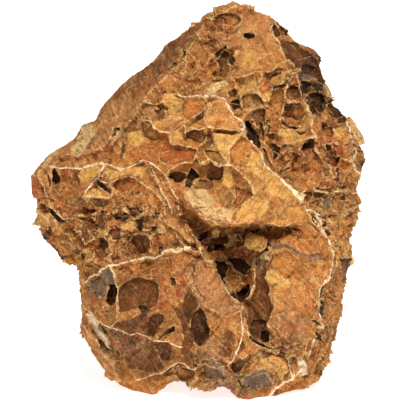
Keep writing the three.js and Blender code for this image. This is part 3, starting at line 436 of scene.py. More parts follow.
STAINS = (
    Stain(Spot(-40, 147, 58, 15, 44), MAUVE, 0.7),
    Stain(Spot(-50, 134, 26, 13, 44), TAN, 0.95),
    Stain(Spot(-22, 168, 30, 7, 46), UMBER, 0.45),
    Stain(Spot(-64, 126, 14, 8, 40), TAN, 0.6),
    Stain(Spot(28, 180, 14, 14), TAN, 0.85),
    Stain(Spot(35, 169, 14, 7), OCHRE, 0.7),
    Stain(Spot(-6, 162, 16, 12, 40), OCHRE, 0.6),
    Stain(Spot(34, 147, 22, 18), OCHRE, 0.6),
    Stain(Spot(28, 150, 14, 10), GOLD, 0.5),
    Stain(Spot(60, 167, 14, 22, -45), UMBER, 1.0),
    Stain(Spot(56, 162, 9, 16, -45), BARK, 0.4),
    Stain(Spot(64, 147, 10, 9), BARK, 0.7),
    Stain(Spot(67, 124, 15, 18), RUST, 0.65),
    Stain(Spot(70, 104, 14, 10), UMBER, 0.5),
    Stain(Spot(78, 128, 4, 15), CREAM, 0.6),
    Stain(Spot(-18, 143, 14, 7), GOLD, 0.7),
    Stain(Spot(12, 126, 9, 9), GOLD, 0.8),
    Stain(Spot(26, 112, 12, 9, -50), GOLD, 0.6),
    Stain(Spot(-24, 121, 13, 6), RUST, 0.6),
    Stain(Spot(43, 95, 12, 9), GOLD, 0.5),
    Stain(Spot(-62, 108, 14, 8), BRICK, 0.55),
    Stain(Spot(-42, 84, 34, 15, -12), BRICK, 0.6),
    Stain(Spot(-73, 88, 7, 9), TAN, 0.7),
    Stain(Spot(14, 76, 22, 10), BRICK, 0.6),
    Stain(Spot(-50, 57, 8, 9), GREY, 0.8),
    Stain(Spot(-38, 30, 16, 9, -10), GREY, 0.75),
    Stain(Spot(-20, 40, 34, 30), UMBER, 0.25),
    Stain(Spot(-2, 58, 8, 17, 35), MAUVE, 0.7),
    Stain(Spot(-14, 60, 8, 8), RUST, 0.5),
    Stain(Spot(6, 24, 9, 5), GREY, 0.7),
    Stain(Spot(19, 9, 19, 6), GREY, 0.65),
    Stain(Spot(-20, 18, 22, 10), OLIVE, 0.6),
    Stain(Spot(46, 58, 12, 14), OCHRE, 0.9),
    Stain(Spot(44, 34, 14, 12), MAUVE, 1.0),
    Stain(Spot(44, 34, 14, 12), UMBER, 0.15),
    Stain(Spot(70, 62, 7, 48, -4), OCHRE, 0.5),
    Stain(Spot(60, 12, 12, 9, 50), TAN, 0.5),
)

# Dark BARK and UMBER faces in holes and gaps are partly painted shade.
FACETS = (
    # The smooth flank and its edge
    Facet(UMBER, 0.3, (-92, 304, -72, 322, -60, 330, -50, 336, -40, 346, -48, 332, -66, 316, -88, 298), 0.0,
          0.35),
    Facet(UMBER, 0.6, (-30, 360, -16, 368, -6, 376, 2, 380, -4, 366, -16, 354, -20, 344, -30, 330, -38, 328,
          -48, 336), 0.1, 0.45),
    Facet(CREAM, 0.0, (-130, 246, -122, 262, -116, 276, -108, 274, -104, 266, -114, 254, -120, 242), 0.0,
          1.0),
    Facet(GREY, 0.3, (-116, 252, -104, 266, -98, 268, -102, 260, -112, 250), 0.0, 0.6),
    Facet(RUST, 0.6, (-140, 250, -133, 254, -126, 256, -124, 262, -128, 252, -130, 244, -140, 241), 0.1,
          0.5),
    Facet(CREAM, 0.4, (-168, 228, -160, 236, -144, 252, -138, 254, -140, 249, -150, 240, -158, 232), 0.0,
          0.7),
    Facet(BARK, 1.4, (-97, 252, -88, 263, -86, 263, -95, 251), 0.2, 1.0),
    Facet(BARK, 2.2, (-86, 272, -80, 272, -80, 269, -84, 264, -88, 262, -86, 267), 0.2, 1.0),
    Facet(BARK, 1.8, (-79, 258, -74, 257, -74, 251, -78, 242, -81, 240, -80, 249), 0.2, 0.8),
    Facet(BARK, 2.0, (-18, 350, -14, 349, -13, 343, -17, 342), 0.2, 1.0),
    Facet(OLIVE, 0.5, (-13, 356, -5, 367, -3, 368, -3, 360, -7, 352, -13, 345), 0.1),
    # The cap
    Facet(MAUVE, 0.2, (39, 386, 60, 388, 68, 382, 70, 368, 52, 366, 42, 367, 38, 371, 41, 380), 0.0, 0.7),
    Facet(MAUVE, 0.4, (64, 358, 74, 357, 78, 350, 72, 345, 66, 349), 0.0, 0.7),
    Facet(GOLD, 0.3, (42, 352, 50, 350, 58, 340, 60, 331, 50, 328, 40, 326, 37, 336), -0.1, 0.5),
    Facet(BRICK, 2.2, (4, 376, 9, 383, 23, 385, 39, 385, 41, 380, 36, 373, 30, 371, 9, 371), 0.25, 0.9),
    Facet(OCHRE, 1.0, (24, 381, 38, 381, 35, 375, 26, 374), -0.3),
    Facet(MAUVE, 0.6, (-2, 371, 7, 370, 9, 364, 3, 360, -2, 361)),
    Facet(MAUVE, 0.8, (11, 369, 23, 368, 27, 364, 23, 356, 15, 360, 11, 364), -0.2),
    Facet(MAUVE, 0.2, (28, 366, 38, 370, 43, 361, 44, 356, 40, 350, 30, 352, 25, 355), -0.1, 0.7),
    Facet(BARK, 2.6, (44, 367, 50, 366, 55, 367, 54, 363, 48, 362, 44, 363), 0.2, 1.0),
    Facet(BARK, 2.6, (15, 345, 23, 355, 27, 352, 23, 349, 17, 340), 0.2, 1.0),
    Facet(UMBER, 1.6, (18, 340, 23, 348, 28, 345, 28, 334, 27, 323, 21, 323, 20, 335)),
    Facet(BARK, 3.2, (28, 346, 33, 343, 34, 335, 30, 334, 27, 340), 0.2, 1.0),
    # The plates between the flank and the cap
    Facet(MAUVE, 0.6, (-58, 287, -53, 296, -43, 293, -39, 290, -47, 281, -55, 280)),
    Facet(UMBER, 1.4, (-46, 289, -36, 291, -34, 284, -42, 280)),
    Facet(GOLD, -0.3, (-39, 302, -36, 306, -27, 305, -18, 300, -20, 290, -33, 290, -39, 296), -0.2),
    Facet(RUST, 1.4, (-19, 295, -11, 300, -2, 296, 5, 294, 3, 290, -6, 285, -13, 280, -18, 285), 0.2, 0.55),
    Facet(BARK, 2.2, (5, 290, 5, 282, -2, 280, -7, 278, -3, 285), 0.2, 1.0),
    Facet(TAN, 0.0, (6, 296, 18, 300, 24, 298, 28, 290, 34, 282, 40, 280, 38, 269, 31, 270, 10, 277, 6,
          284), -0.15, 0.7),
    Facet(RUST, 1.0, (14, 279, 20, 280, 22, 275, 15, 274), 0.3),
    Facet(TAN, -0.2, (-52, 278, -40, 280, -28, 285, -18, 283, -17, 281, -27, 275, -32, 271, -45, 273),
          -0.25),
    Facet(UMBER, 1.2, (-28, 268, -15, 280, -13, 272, -18, 265, -27, 262), 0.2, 0.6),
    Facet(CREAM, 0.0, (6, 313, 20, 319, 30, 320, 28, 315, 19, 309, 12, 304, 5, 304), -0.15, 0.95),
    Facet(UMBER, 2.0, (12, 321, 21, 322, 20, 319, 13, 318)),
    Facet(UMBER, 1.6, (-26, 338, -22, 337, -27, 330, -31, 330)),
    Facet(BARK, 2.8, (-60, 276, -53, 278, -48, 274, -43, 268, -39, 262, -45, 259, -56, 262), 0.35, 0.5),
    Facet(BARK, 3.0, (-14, 267, -7, 268, 3, 268, 5, 260, 0, 255, -7, 259, -13, 262), 0.35, 0.75),
    Facet(TAN, 0.2, (-29, 267, -20, 268, -15, 262, -13, 255, -27, 254), -0.2),
    Facet(GOLD, 0.0, (-74, 266, -66, 269, -58, 270, -57, 264, -54, 259, -60, 254, -68, 253, -73, 257),
          -0.15),
    # The open cells right of the plates
    Facet(UMBER, 2.4, (27, 308, 35, 311, 36, 305, 31, 304)),
    Facet(BARK, 3.4, (32, 299, 38, 300, 40, 294, 36, 292, 32, 295), 0.2, 1.0),
    Facet(OLIVE, 1.8, (41, 303, 47, 305, 55, 306, 61, 302, 62, 295, 53, 292, 42, 291)),
    Facet(GOLD, 1.0, (40, 314, 47, 319, 57, 322, 59, 316, 57, 308, 48, 306, 40, 305)),
    Facet(RUST, 1.6, (59, 317, 61, 321, 70, 321, 71, 314, 68, 308, 60, 305, 58, 310), 0.2, 0.8),
    Facet(GOLD, 0.8, (63, 305, 70, 305, 69, 299, 65, 296), -0.2),
    Facet(UMBER, 2.2, (61, 330, 66, 328, 71, 328, 78, 333, 84, 332, 77, 327, 72, 323, 63, 324)),
    Facet(GOLD, 0.4, (71, 317, 72, 323, 78, 326, 88, 331, 93, 330, 87, 324, 82, 316), 0.0, 0.7),
    Facet(BRICK, 2.0, (71, 308, 84, 311, 84, 296, 82, 288, 79, 283, 72, 284, 68, 290, 69, 298), 0.1, 0.45),
    Facet(BARK, 2.8, (71, 313, 74, 315, 82, 315, 86, 317, 85, 312, 77, 310, 72, 308), 0.2, 1.0),
    Facet(RUST, 1.2, (89, 314, 93, 325, 97, 320, 100, 312)),
    Facet(BARK, 2.2, (88, 313, 97, 313, 95, 309, 88, 309), 0.2, 1.0),
    Facet(UMBER, 1.6, (87, 308, 97, 310, 101, 303, 99, 298, 90, 299, 85, 304), 0.2, 0.6),
    Facet(BARK, 3.0, (85, 296, 100, 296, 99, 292, 93, 291, 86, 288, 84, 291), 0.2, 1.0),
    Facet(BRICK, 1.8, (83, 288, 92, 290, 100, 291, 104, 286, 100, 282, 83, 283), 0.2, 0.7),
    Facet(BARK, 3.4, (80, 284, 85, 278, 90, 274, 99, 274, 96, 270, 89, 270, 81, 276), 0.2, 1.0),
    Facet(TAN, 0.8, (85, 282, 92, 282, 97, 278, 101, 276, 93, 275, 87, 279), -0.3),
    Facet(TAN, 0.6, (101, 278, 107, 285, 110, 282, 108, 275, 105, 269, 99, 267, 100, 274)),
    Facet(UMBER, 2.4, (52, 286, 63, 292, 65, 286, 65, 276, 60, 274, 54, 279, 50, 283)),
    Facet(OCHRE, 0.4, (66, 292, 80, 292, 80, 279, 77, 272, 70, 272, 67, 282), -0.1, 0.6),
    Facet(BARK, 4.0, (46, 280, 51, 274, 57, 265, 60, 255, 59, 251, 53, 254, 48, 264, 45, 274), 0.2, 1.0),
    Facet(BARK, 2.6, (60, 279, 63, 277, 64, 257, 60, 263), 0.2, 1.0),
    Facet(BARK, 2.6, (67, 277, 70, 273, 69, 266, 66, 268), 0.2, 1.0),
    Facet(UMBER, 2.0, (70, 266, 76, 265, 75, 259, 69, 261)),
    Facet(GOLD, 0.4, (80, 272, 88, 270, 100, 265, 110, 270, 108, 264, 100, 260, 90, 255, 84, 258, 76, 266),
          -0.15),
    Facet(BRICK, 1.2, (62, 256, 66, 254, 72, 240, 80, 234, 80, 226, 74, 227, 68, 234, 63, 244), 0.0, 0.3),
    Facet(UMBER, 2.6, (61, 254, 64, 252, 68, 241, 75, 231, 74, 226, 67, 233, 63, 243), 0.2, 0.5),
    Facet(BARK, 2.8, (70, 256, 76, 256, 79, 250, 78, 243, 75, 242, 73, 248), 0.2, 1.0),
    Facet(BARK, 2.2, (79, 255, 85, 256, 87, 252, 82, 250), 0.2, 1.0),
    Facet(BARK, 1.8, (81, 232, 91, 236, 92, 234, 82, 230), 0.2, 1.0),
    Facet(BRICK, 2.0, (92, 251, 100, 254, 108, 261, 115, 262, 116, 250, 110, 242, 99, 243), 0.2, 0.95),
    Facet(BARK, 3.6, (101, 250, 104, 256, 113, 261, 115, 252, 109, 251), 0.2, 1.0),
    Facet(BARK, 2.6, (112, 251, 116, 246, 120, 241, 115, 241, 112, 246), 0.2, 1.0),
    Facet(UMBER, 1.8, (100, 236, 106, 235, 110, 230, 103, 228, 99, 232)),
    # The dark right shoulder
    Facet(BARK, 2.4, (74, 377, 78, 374, 80, 365, 76, 362, 73, 362, 72, 372), 0.2, 1.0),
    Facet(BARK, 2.2, (84, 371, 89, 370, 89, 365, 84, 366), 0.2, 1.0),
    Facet(BARK, 1.0, (76, 380, 82, 380, 88, 374, 82, 368, 80, 374), 0.2, 1.0),
    Facet(UMBER, 0.8, (80, 361, 90, 361, 100, 355, 103, 340, 101, 328, 96, 329, 92, 337, 84, 348), 0.1, 1.0),
    Facet(BARK, 1.8, (100, 354, 106, 350, 114, 342, 117, 332, 110, 326, 104, 328, 102, 344), 0.2, 0.9),
    Facet(BRICK, -0.4, (106, 354, 116, 351, 121, 345, 120, 341, 114, 345, 108, 350), 0.0, 0.6),
    Facet(BARK, 3.0, (104, 339, 112, 335, 119, 332, 116, 325, 104, 326, 103, 332), 0.2, 0.9),
    Facet(GREY, 0.6, (101, 321, 108, 325, 117, 322, 106, 319), -0.3),
    Facet(BARK, 4.2, (100, 317, 110, 319, 115, 318, 113, 309, 108, 306, 102, 304, 100, 310), 0.2, 1.0),
    Facet(BARK, 2.6, (116, 322, 124, 325, 125, 316, 123, 310, 115, 311), 0.2, 1.0),
    Facet(CREAM, -0.4, (124, 314, 126, 306, 130, 301, 133, 303, 131, 310, 127, 317), -0.1, 0.5),
    Facet(BRICK, 0.2, (100, 304, 104, 306, 111, 308, 108, 303, 106, 298, 107, 292, 103, 297), 0.2, 0.7),
    Facet(BARK, 4.2, (106, 301, 114, 307, 123, 308, 128, 300, 127, 294, 122, 289, 118, 282, 114, 285, 109,
          288, 106, 294), 0.25, 1.0),
    Facet(BARK, 1.4, (129, 300, 134, 298, 140, 292, 145, 285, 149, 279, 140, 278, 135, 284, 130, 292), 0.1,
          1.0),
    Facet(OCHRE, 0.6, (120, 285, 126, 291, 132, 289, 133, 284, 124, 275, 117, 281), -0.1, 0.7),
    Facet(GOLD, 0.2, (132, 272, 141, 273, 147, 274, 147, 269, 142, 262, 132, 266), -0.2),
    # The right lobe
    Facet(BRICK, 0.8, (118, 270, 131, 270, 132, 256, 120, 252, 117, 260), 0.1, 0.6),
    Facet(BRICK, 3.2, (126, 256, 131, 253, 132, 244, 140, 243, 139, 236, 132, 235, 128, 238, 123, 240, 126,
          245), 0.2, 0.95),
    Facet(BRICK, 1.4, (133, 256, 142, 255, 144, 244, 137, 245, 133, 250), 0.2, 0.8),
    Facet(TAN, 0.2, (121, 252, 125, 252, 126, 245, 122, 242), -0.1),
    Facet(CREAM, 0.0, (148, 283, 154, 285, 158, 276, 164, 266, 169, 260, 169, 253, 158, 256, 154, 266, 149,
          274), 0.0, 0.5),
    Facet(BARK, 0.8, (158, 243, 167, 242, 165, 234, 160, 228, 157, 234), 0.1, 0.8),
    Facet(OLIVE, 1.6, (123, 231, 130, 231, 130, 224, 124, 223)),
    Facet(BARK, 2.2, (136, 233, 139, 233, 141, 223, 138, 223), 0.2, 1.0),
    Facet(BARK, 2.4, (135, 222, 142, 223, 140, 218, 136, 218), 0.2, 1.0),
    Facet(OCHRE, 0.2, (99, 225, 114, 225, 120, 219, 119, 213, 108, 210, 102, 213), -0.1, 0.9),
    Facet(RUST, 0.6, (121, 219, 133, 221, 140, 215, 128, 213, 122, 214), -0.1, 0.6),
    Facet(BARK, 2.6, (113, 211, 119, 213, 125, 212, 133, 212, 132, 210, 114, 210), 0.2, 1.0),
    Facet(BARK, 2.6, (138, 214, 146, 215, 148, 211, 140, 211), 0.2, 1.0),
    Facet(UMBER, 2.6, (113, 207, 129, 207, 124, 202, 114, 201)),
    Facet(BRICK, 1.6, (104, 207, 112, 206, 112, 202, 106, 198), 0.2, 0.9),
    Facet(OLIVE, 1.2, (123, 201, 130, 207, 133, 196, 132, 185, 125, 185, 122, 192), 0.15, 0.9),
    Facet(UMBER, 0.8, (143, 194, 160, 198, 163, 194, 152, 189, 143, 187), 0.0, 0.7),
    Facet(GOLD, 0.2, (139, 158, 151, 160, 153, 152, 148, 145, 141, 153), 0.0, 0.9),
    Facet(BARK, 2.4, (139, 142, 153, 142, 154, 140, 151, 138, 141, 139), 0.2, 1.0),
    Facet(BARK, 1.0, (140, 138, 151, 139, 147, 128, 141, 128), 0.0, 1.0),
    # The strands left of the right lobe
    Facet(UMBER, 2.4, (112, 185, 116, 184, 118, 175, 115, 176, 111, 181)),
    Facet(BARK, 2.0, (124, 183, 126, 183, 129, 176, 126, 173, 124, 177), 0.2, 1.0),
    # The middle: the open hollow and the cream plates below it
    Facet(CREAM, 0.2, (-18, 209, -10, 210, 7, 211, 11, 204, 15, 201, 13, 195, 3, 193, -10, 195, -15, 200),
          -0.2),
    Facet(CREAM, 0.4, (-10, 194, -2, 192, 15, 194, 27, 191, 34, 191, 30, 176, 20, 179, 9, 183, -3, 190),
          -0.1, 0.8),
    Facet(OLIVE, 1.6, (-7, 219, 3, 221, 12, 219, 14, 213, 9, 211, -7, 211)),
    Facet(UMBER, 3.0, (-31, 226, -20, 227, -13, 228, -15, 222, -19, 219, -24, 218, -32, 224), 0.2, 1.0),
    Facet(BARK, 3.6, (-10, 230, -7, 229, -1, 224, -7, 220, -8, 213, -10, 211, -15, 214, -12, 222), 0.2, 1.0),
    Facet(UMBER, 2.6, (5, 233, 11, 235, 18, 235, 23, 232, 23, 227, 20, 221, 10, 219, 7, 224)),
    Facet(GOLD, 0.2, (23, 230, 28, 234, 32, 231, 33, 224, 33, 214, 28, 209, 21, 216), 0.2, 0.9),
    Facet(OLIVE, 1.0, (15, 212, 28, 210, 33, 206, 32, 197, 28, 193, 20, 198, 17, 206), 0.1, 0.9),
    Facet(BRICK, 1.6, (33, 214, 40, 213, 53, 206, 48, 200, 35, 191, 32, 194, 36, 203), 0.1, 0.8),
    Facet(GOLD, 0.2, (38, 191, 52, 203, 66, 202, 70, 194, 64, 185, 48, 180, 38, 176, 30, 176), -0.1, 0.6),
    Facet(GOLD, 0.0, (50, 252, 58, 246, 64, 236, 68, 229, 80, 218, 94, 207, 91, 200, 80, 200, 70, 206, 60,
          218, 50, 228), -0.05, 0.6),
    Facet(OLIVE, 0.5, (72, 190, 80, 196, 88, 195, 96, 190, 92, 184, 82, 181, 74, 183), 0.0, 0.4),
    Facet(RUST, 1.0, (68, 197, 76, 195, 74, 191, 72, 185, 71, 190)),
    Facet(OCHRE, 0.6, (30, 250, 36, 254, 42, 264, 51, 256, 50, 250, 40, 239, 38, 231, 31, 239)),
    Facet(GOLD, 0.1, (11, 266, 36, 266, 39, 261, 35, 254, 29, 249, 28, 244, 17, 251), -0.15),
    Facet(OLIVE, 1.8, (3, 249, 18, 249, 23, 242, 30, 235, 19, 236, 12, 239, 4, 244), 0.25),
    Facet(UMBER, 1.8, (2, 264, 10, 266, 13, 259, 9, 253, 5, 255)),
    Facet(RUST, 2.0, (-40, 251, -32, 264, -28, 254, -15, 253, -3, 250, -6, 241, -13, 239, -27, 234, -39,
          239), 0.3, 0.75),
    Facet(RUST, 1.6, (-40, 252, -31, 265, -28, 255, -15, 253, -14, 250, -29, 250, -36, 249), 0.2, 0.8),
    # The left lobe
    Facet(GOLD, 0.0, (-122, 224, -118, 232, -104, 233, -98, 229, -106, 219, -114, 213, -120, 216), 0.0, 0.8),
    Facet(RUST, 0.6, (-138, 230, -130, 231, -125, 227, -126, 222, -131, 221, -136, 224), 0.2, 0.9),
    Facet(BARK, 3.2, (-147, 232, -143, 228, -140, 223, -141, 219, -144, 215, -148, 214, -148, 222), 0.2,
          1.0),
    Facet(BRICK, 1.8, (-153, 227, -150, 227, -149, 214, -152, 212), 0.1, 0.9),
    Facet(BRICK, 0.6, (-170, 226, -164, 226, -160, 220, -158, 212, -154, 202, -160, 200, -170, 202), 0.0,
          0.8),
    Facet(OLIVE, 1.4, (-132, 203, -124, 204, -116, 200, -113, 197, -117, 193, -124, 193, -136, 197), 0.2,
          0.9),
    Facet(UMBER, 1.8, (-152, 202, -144, 201, -143, 197, -150, 197)),
    Facet(TAN, 0.1, (-165, 191, -159, 188, -152, 183, -151, 176, -151, 169, -156, 172, -162, 179), 0.0, 0.9),
    Facet(TAN, 0.2, (-150, 182, -146, 181, -139, 175, -135, 170, -140, 164, -146, 165, -150, 169), -0.05,
          0.7),
    Facet(BARK, 2.2, (-153, 192, -148, 191, -140, 182, -134, 177, -136, 175, -143, 179, -151, 187), 0.2,
          1.0),
    Facet(RUST, 1.2, (-142, 194, -138, 192, -131, 183, -134, 181, -141, 187), 0.1, 0.8),
    Facet(BARK, 1.0, (-159, 164, -156, 170, -152, 169, -149, 162, -153, 159, -158, 160), 0.0, 1.0),
    Facet(OCHRE, -0.3, (-148, 168, -142, 174, -136, 172, -135, 166, -140, 163, -146, 164), -0.2, 0.9),
    Facet(UMBER, 0.8, (-152, 157, -146, 153, -133, 142, -138, 139, -145, 147), 0.0, 1.0),
    Facet(OLIVE, 1.2, (-142, 155, -134, 157, -128, 152, -122, 147, -124, 143, -132, 148), 0.2, 0.7),
    Facet(BARK, 3.4, (-121, 148, -115, 147, -114, 141, -120, 140), 0.2, 1.0),
    Facet(GOLD, -0.2, (-116, 204, -108, 212, -101, 210, -98, 205, -97, 203, -112, 202), -0.2),
    Facet(BARK, 2.8, (-105, 220, -98, 219, -91, 213, -87, 208, -90, 206, -98, 211, -103, 215), 0.2, 1.0),
    Facet(BARK, 3.0, (-99, 228, -95, 228, -88, 221, -90, 220, -97, 224), 0.2, 1.0),
    Facet(RUST, 1.2, (-86, 215, -80, 221, -73, 223, -67, 221, -65, 214, -68, 210, -74, 209, -82, 210), 0.25,
          0.6),
    Facet(GOLD, 0.0, (-100, 224, -92, 231, -80, 229, -60, 234, -48, 231, -56, 221, -68, 226, -80, 225, -90,
          219), -0.1, 0.6),
    Facet(BRICK, 1.8, (-69, 208, -59, 208, -62, 204, -69, 204), 0.2, 1.0),
    Facet(UMBER, 2.0, (-70, 194, -61, 194, -59, 189, -64, 185, -70, 188)),
    Facet(CREAM, 0.2, (-80, 196, -74, 193, -70, 188, -72, 186, -78, 191), -0.2, 0.95),
    # The rubble on the left
    Facet(UMBER, 2.2, (-112, 200, -96, 202, -91, 199, -95, 194, -104, 192, -111, 197)),
    Facet(BARK, 2.4, (-101, 190, -93, 190, -92, 186, -97, 184), 0.2, 1.0),
    Facet(CREAM, 0.0, (-110, 185, -105, 188, -100, 185, -108, 183), -0.3),
    Facet(CREAM, 0.0, (-125, 186, -116, 187, -114, 184, -122, 183), -0.3, 0.7),
    Facet(BARK, 2.4, (-123, 183, -115, 183, -114, 179, -121, 179), 0.2, 1.0),
    Facet(UMBER, 1.4, (-105, 185, -96, 185, -91, 180, -95, 173, -100, 172, -106, 176), 0.1),
    Facet(UMBER, 1.6, (-115, 180, -108, 180, -102, 173, -106, 167, -112, 171), 0.1, 0.75),
    Facet(GOLD, 0.2, (-101, 169, -92, 170, -91, 164, -94, 161, -102, 164), -0.2),
    Facet(RUST, 0.6, (-94, 180, -82, 180, -80, 175, -88, 173, -96, 172), 0.0, 0.8),
    Facet(BARK, 2.8, (-88, 184, -84, 184, -81, 182, -84, 179, -88, 180), 0.2, 1.0),
    Facet(GREY, 1.0, (-80, 185, -68, 187, -66, 183, -74, 182, -80, 182)),
    Facet(GOLD, 0.2, (-80, 176, -74, 181, -67, 180, -64, 174, -64, 171, -69, 169, -77, 171), -0.15),
    Facet(BARK, 3.2, (-66, 182, -59, 184, -57, 176, -60, 170, -63, 172, -64, 176), 0.2, 1.0),
    Facet(UMBER, 2.4, (-90, 172, -80, 173, -79, 166, -80, 160, -88, 160, -90, 166)),
    Facet(BARK, 2.2, (-104, 162, -94, 159, -92, 154, -97, 152, -102, 156), 0.2, 1.0),
    Facet(UMBER, 1.8, (-107, 151, -97, 152, -92, 147, -96, 142, -104, 143)),
    Facet(BARK, 2.6, (-74, 163, -66, 165, -67, 161, -73, 158), 0.2, 1.0),
    Facet(BARK, 2.2, (-65, 165, -55, 165, -50, 160, -50, 152, -56, 146, -63, 150, -67, 156), 0.1, 0.7),
    Facet(UMBER, 1.0, (-76, 156, -69, 160, -67, 154, -66, 146, -72, 144, -79, 149), 0.1, 0.6),
    Facet(BARK, 2.4, (-46, 188, -40, 188, -40, 183, -45, 182), 0.2, 1.0),
    Facet(BARK, 2.4, (-48, 173, -42, 174, -42, 169, -47, 168), 0.2, 1.0),
    Facet(UMBER, 2.0, (-43, 155, -37, 154, -38, 146, -42, 146)),
    Facet(UMBER, 1.4, (-119, 176, -115, 176, -109, 160, -114, 156, -119, 164), 0.1, 0.7),
    # The bright strip and the slope left of the dark band
    Facet(TAN, 0.3, (-38, 180, -33, 184, -24, 185, -13, 180, -10, 173, -3, 158, -10, 155, -23, 168, -32,
          173), 0.0, 0.75),
    # The dark band and the cavity above the boulder and the block
    Facet(BARK, 3.4, (0, 167, 6, 168, 8, 162, 2, 161), 0.2, 1.0),
    Facet(BARK, 3.6, (15, 158, 20, 159, 25, 156, 24, 151, 16, 151), 0.2, 1.0),
    Facet(UMBER, 2.4, (33, 159, 43, 159, 45, 153, 34, 152)),
    Facet(GOLD, -1.0, (11, 170, 16, 172, 20, 169, 19, 164, 14, 163, 11, 166), -0.3, 0.9),
    Facet(GOLD, -1.2, (43, 154, 45, 164, 51, 168, 62, 164, 67, 160, 66, 153, 58, 150, 50, 150), -0.3, 0.9),
    Facet(OCHRE, -0.5, (6, 149, 20, 150, 36, 150, 36, 142, 18, 140, 8, 142), 0.0, 0.95),
    Facet(BRICK, 1.4, (49, 178, 59, 178, 59, 168, 53, 167, 49, 170), 0.2, 0.9),
    Facet(GOLD, -0.4, (59, 177, 63, 176, 62, 169, 59, 171), 0.0, 0.9),
    Facet(BRICK, 1.8, (65, 178, 70, 176, 72, 172, 68, 167, 63, 169), 0.2, 0.95),
    Facet(OCHRE, -0.6, (92, 176, 100, 179, 112, 175, 118, 167, 110, 161, 98, 162, 91, 166, 90, 172), -0.1,
          0.95),
    Facet(BRICK, 1.0, (90, 172, 93, 176, 98, 174, 95, 169), 0.1, 0.9),
    Facet(BRICK, 0.8, (96, 159, 110, 160, 118, 160, 120, 152, 114, 147, 104, 148, 96, 153), 0.0, 0.5),
    Facet(GREY, 0.8, (70, 160, 84, 157, 92, 153, 100, 149, 112, 145, 124, 145, 124, 141, 112, 141, 100, 145,
          84, 153, 70, 154), 0.0, 0.9),
    # Painted light: this lump lies in the cavity's shade, and its cream is paler than the stone there to make
    # up for it.
    Facet(CREAM, -2.0, (50, 138, 62, 148, 69, 150, 66, 138, 58, 128, 52, 132), 0.0, 1.0),
    Facet(BARK, 4.0, (14, 140, 27, 140, 28, 132, 26, 120, 25, 114, 21, 121, 17, 132), 0.1, 1.0),
    Facet(BARK, 3.6, (30, 140, 44, 140, 50, 134, 49, 125, 40, 126, 32, 132), 0.2, 1.0),
    Facet(OLIVE, 2.0, (27, 120, 34, 125, 42, 122, 44, 116, 38, 111, 32, 110, 27, 114), -0.2, 0.7),
    Facet(BARK, 4.4, (32, 110, 40, 112, 46, 115, 50, 114, 50, 108, 45, 100, 41, 98, 35, 103, 30, 108), 0.1,
          1.0),
    Facet(RUST, 1.0, (44, 122, 48, 132, 53, 130, 52, 116, 45, 116), 0.0, 0.8),
    # The boulder
    Facet(GREY, 0.0, (-96, 131, -90, 133, -86, 125, -83, 117, -87, 116, -92, 118, -96, 124), 0.0, 1.0),
    Facet(BARK, 4.2, (-91, 117, -83, 113, -83, 111, -84, 100, -90, 96, -95, 100, -92, 105), 0.1, 1.0),
    Facet(GREY, 0.4, (-113, 116, -103, 122, -98, 123, -93, 116, -93, 105, -98, 103, -107, 110), -0.1, 0.8),
    Facet(BRICK, 0.8, (-117, 109, -107, 109, -101, 104, -99, 98, -107, 93, -116, 100), 0.1, 0.5),
    Facet(UMBER, 1.0, (-81, 113, -76, 116, -70, 120, -60, 123, -46, 121, -41, 117, -40, 107, -44, 99, -51,
          90, -63, 93, -71, 90, -80, 88), 0.2, 0.9),
    Facet(BARK, 1.6, (-61, 95, -52, 95, -50, 88, -58, 87), 0.2, 1.0),
    Facet(UMBER, 0.5, (-87, 133, -70, 127, -75, 118, -81, 113, -83, 123), 0.1, 0.6),
    Facet(BRICK, 0.2, (-44, 100, -38, 108, -28, 101, -24, 95, -30, 92, -42, 91, -48, 89), 0.0, 0.9),
    Facet(BRICK, 0.5, (-22, 120, -18, 120, -11, 110, -14, 107, -21, 102, -24, 106, -26, 115), 0.1, 1.0),
    Facet(BARK, 2.6, (-29, 124, -24, 123, -24, 115, -28, 116), 0.2, 1.0),
    Facet(BRICK, 0.5, (-36, 112, -33, 112, -27, 102, -30, 101), 0.1, 0.9),
    Facet(BARK, 1.4, (-15, 107, -10, 109, -5, 102, -2, 96, -6, 86, -11, 78, -15, 85, -18, 92, -17, 100),
          0.1),
    Facet(BARK, 1.2, (-2, 93, 1, 92, 6, 82, 9, 72, 7, 64, 1, 55, -3, 56, -8, 65, -10, 72, -7, 84), 0.1, 1.0),
    Facet(MAUVE, 0.0, (-18, 134, 0, 138, 14, 130, 20, 120, 26, 109, 38, 99, 38, 90, 24, 82, 10, 92, 0, 102,
          -10, 120), 0.0, 0.9),
    Facet(UMBER, 0.6, (-10, 129, -8, 128, -2, 114, 3, 105, 7, 99, 5, 99, -1, 107, -6, 118)),
    Facet(UMBER, 1.0, (-8, 137, -4, 137, -4, 126, -7, 127), 0.1, 0.7),
    Facet(UMBER, 0.2, (-28, 95, -18, 92, -13, 80, -6, 62, -10, 48, -6, 36, -13, 38, -18, 50, -16, 64, -19,
          76), 0.0, 0.9),
    Facet(BARK, 1.1, (-56, 82, -42, 88, -36, 86, -37, 80, -43, 73, -46, 65, -56, 69, -60, 75), 0.2, 0.9),
    Facet(UMBER, 1.1, (-43, 88, -36, 86, -37, 80, -42, 80)),
    Facet(BARK, 1.5, (-44, 61, -35, 68, -29, 74, -24, 76, -25, 70, -32, 67, -40, 62), 0.2, 1.0),
    Facet(UMBER, 0.9, (-56, 58, -48, 59, -32, 59, -28, 55, -30, 44, -32, 40, -37, 42, -42, 51), 0.25, 1.0),
    Facet(UMBER, 0.4, (-60, 54, -50, 55, -42, 48, -37, 40, -35, 32, -48, 28, -72, 32, -76, 48), 0.1, 0.95),
    Facet(BARK, 3.0, (-37, 29, -28, 35, -21, 38, -18, 37, -26, 32, -33, 28), 0.2, 1.0),
    Facet(UMBER, 0.3, (-28, 27, -18, 34, -8, 33, 0, 24, -8, 17, -20, 21), 0.1, 0.4),
    Facet(UMBER, 0.7, (-24, 32, -16, 35, -8, 34, -6, 30, -16, 30), 0.2, 0.8),
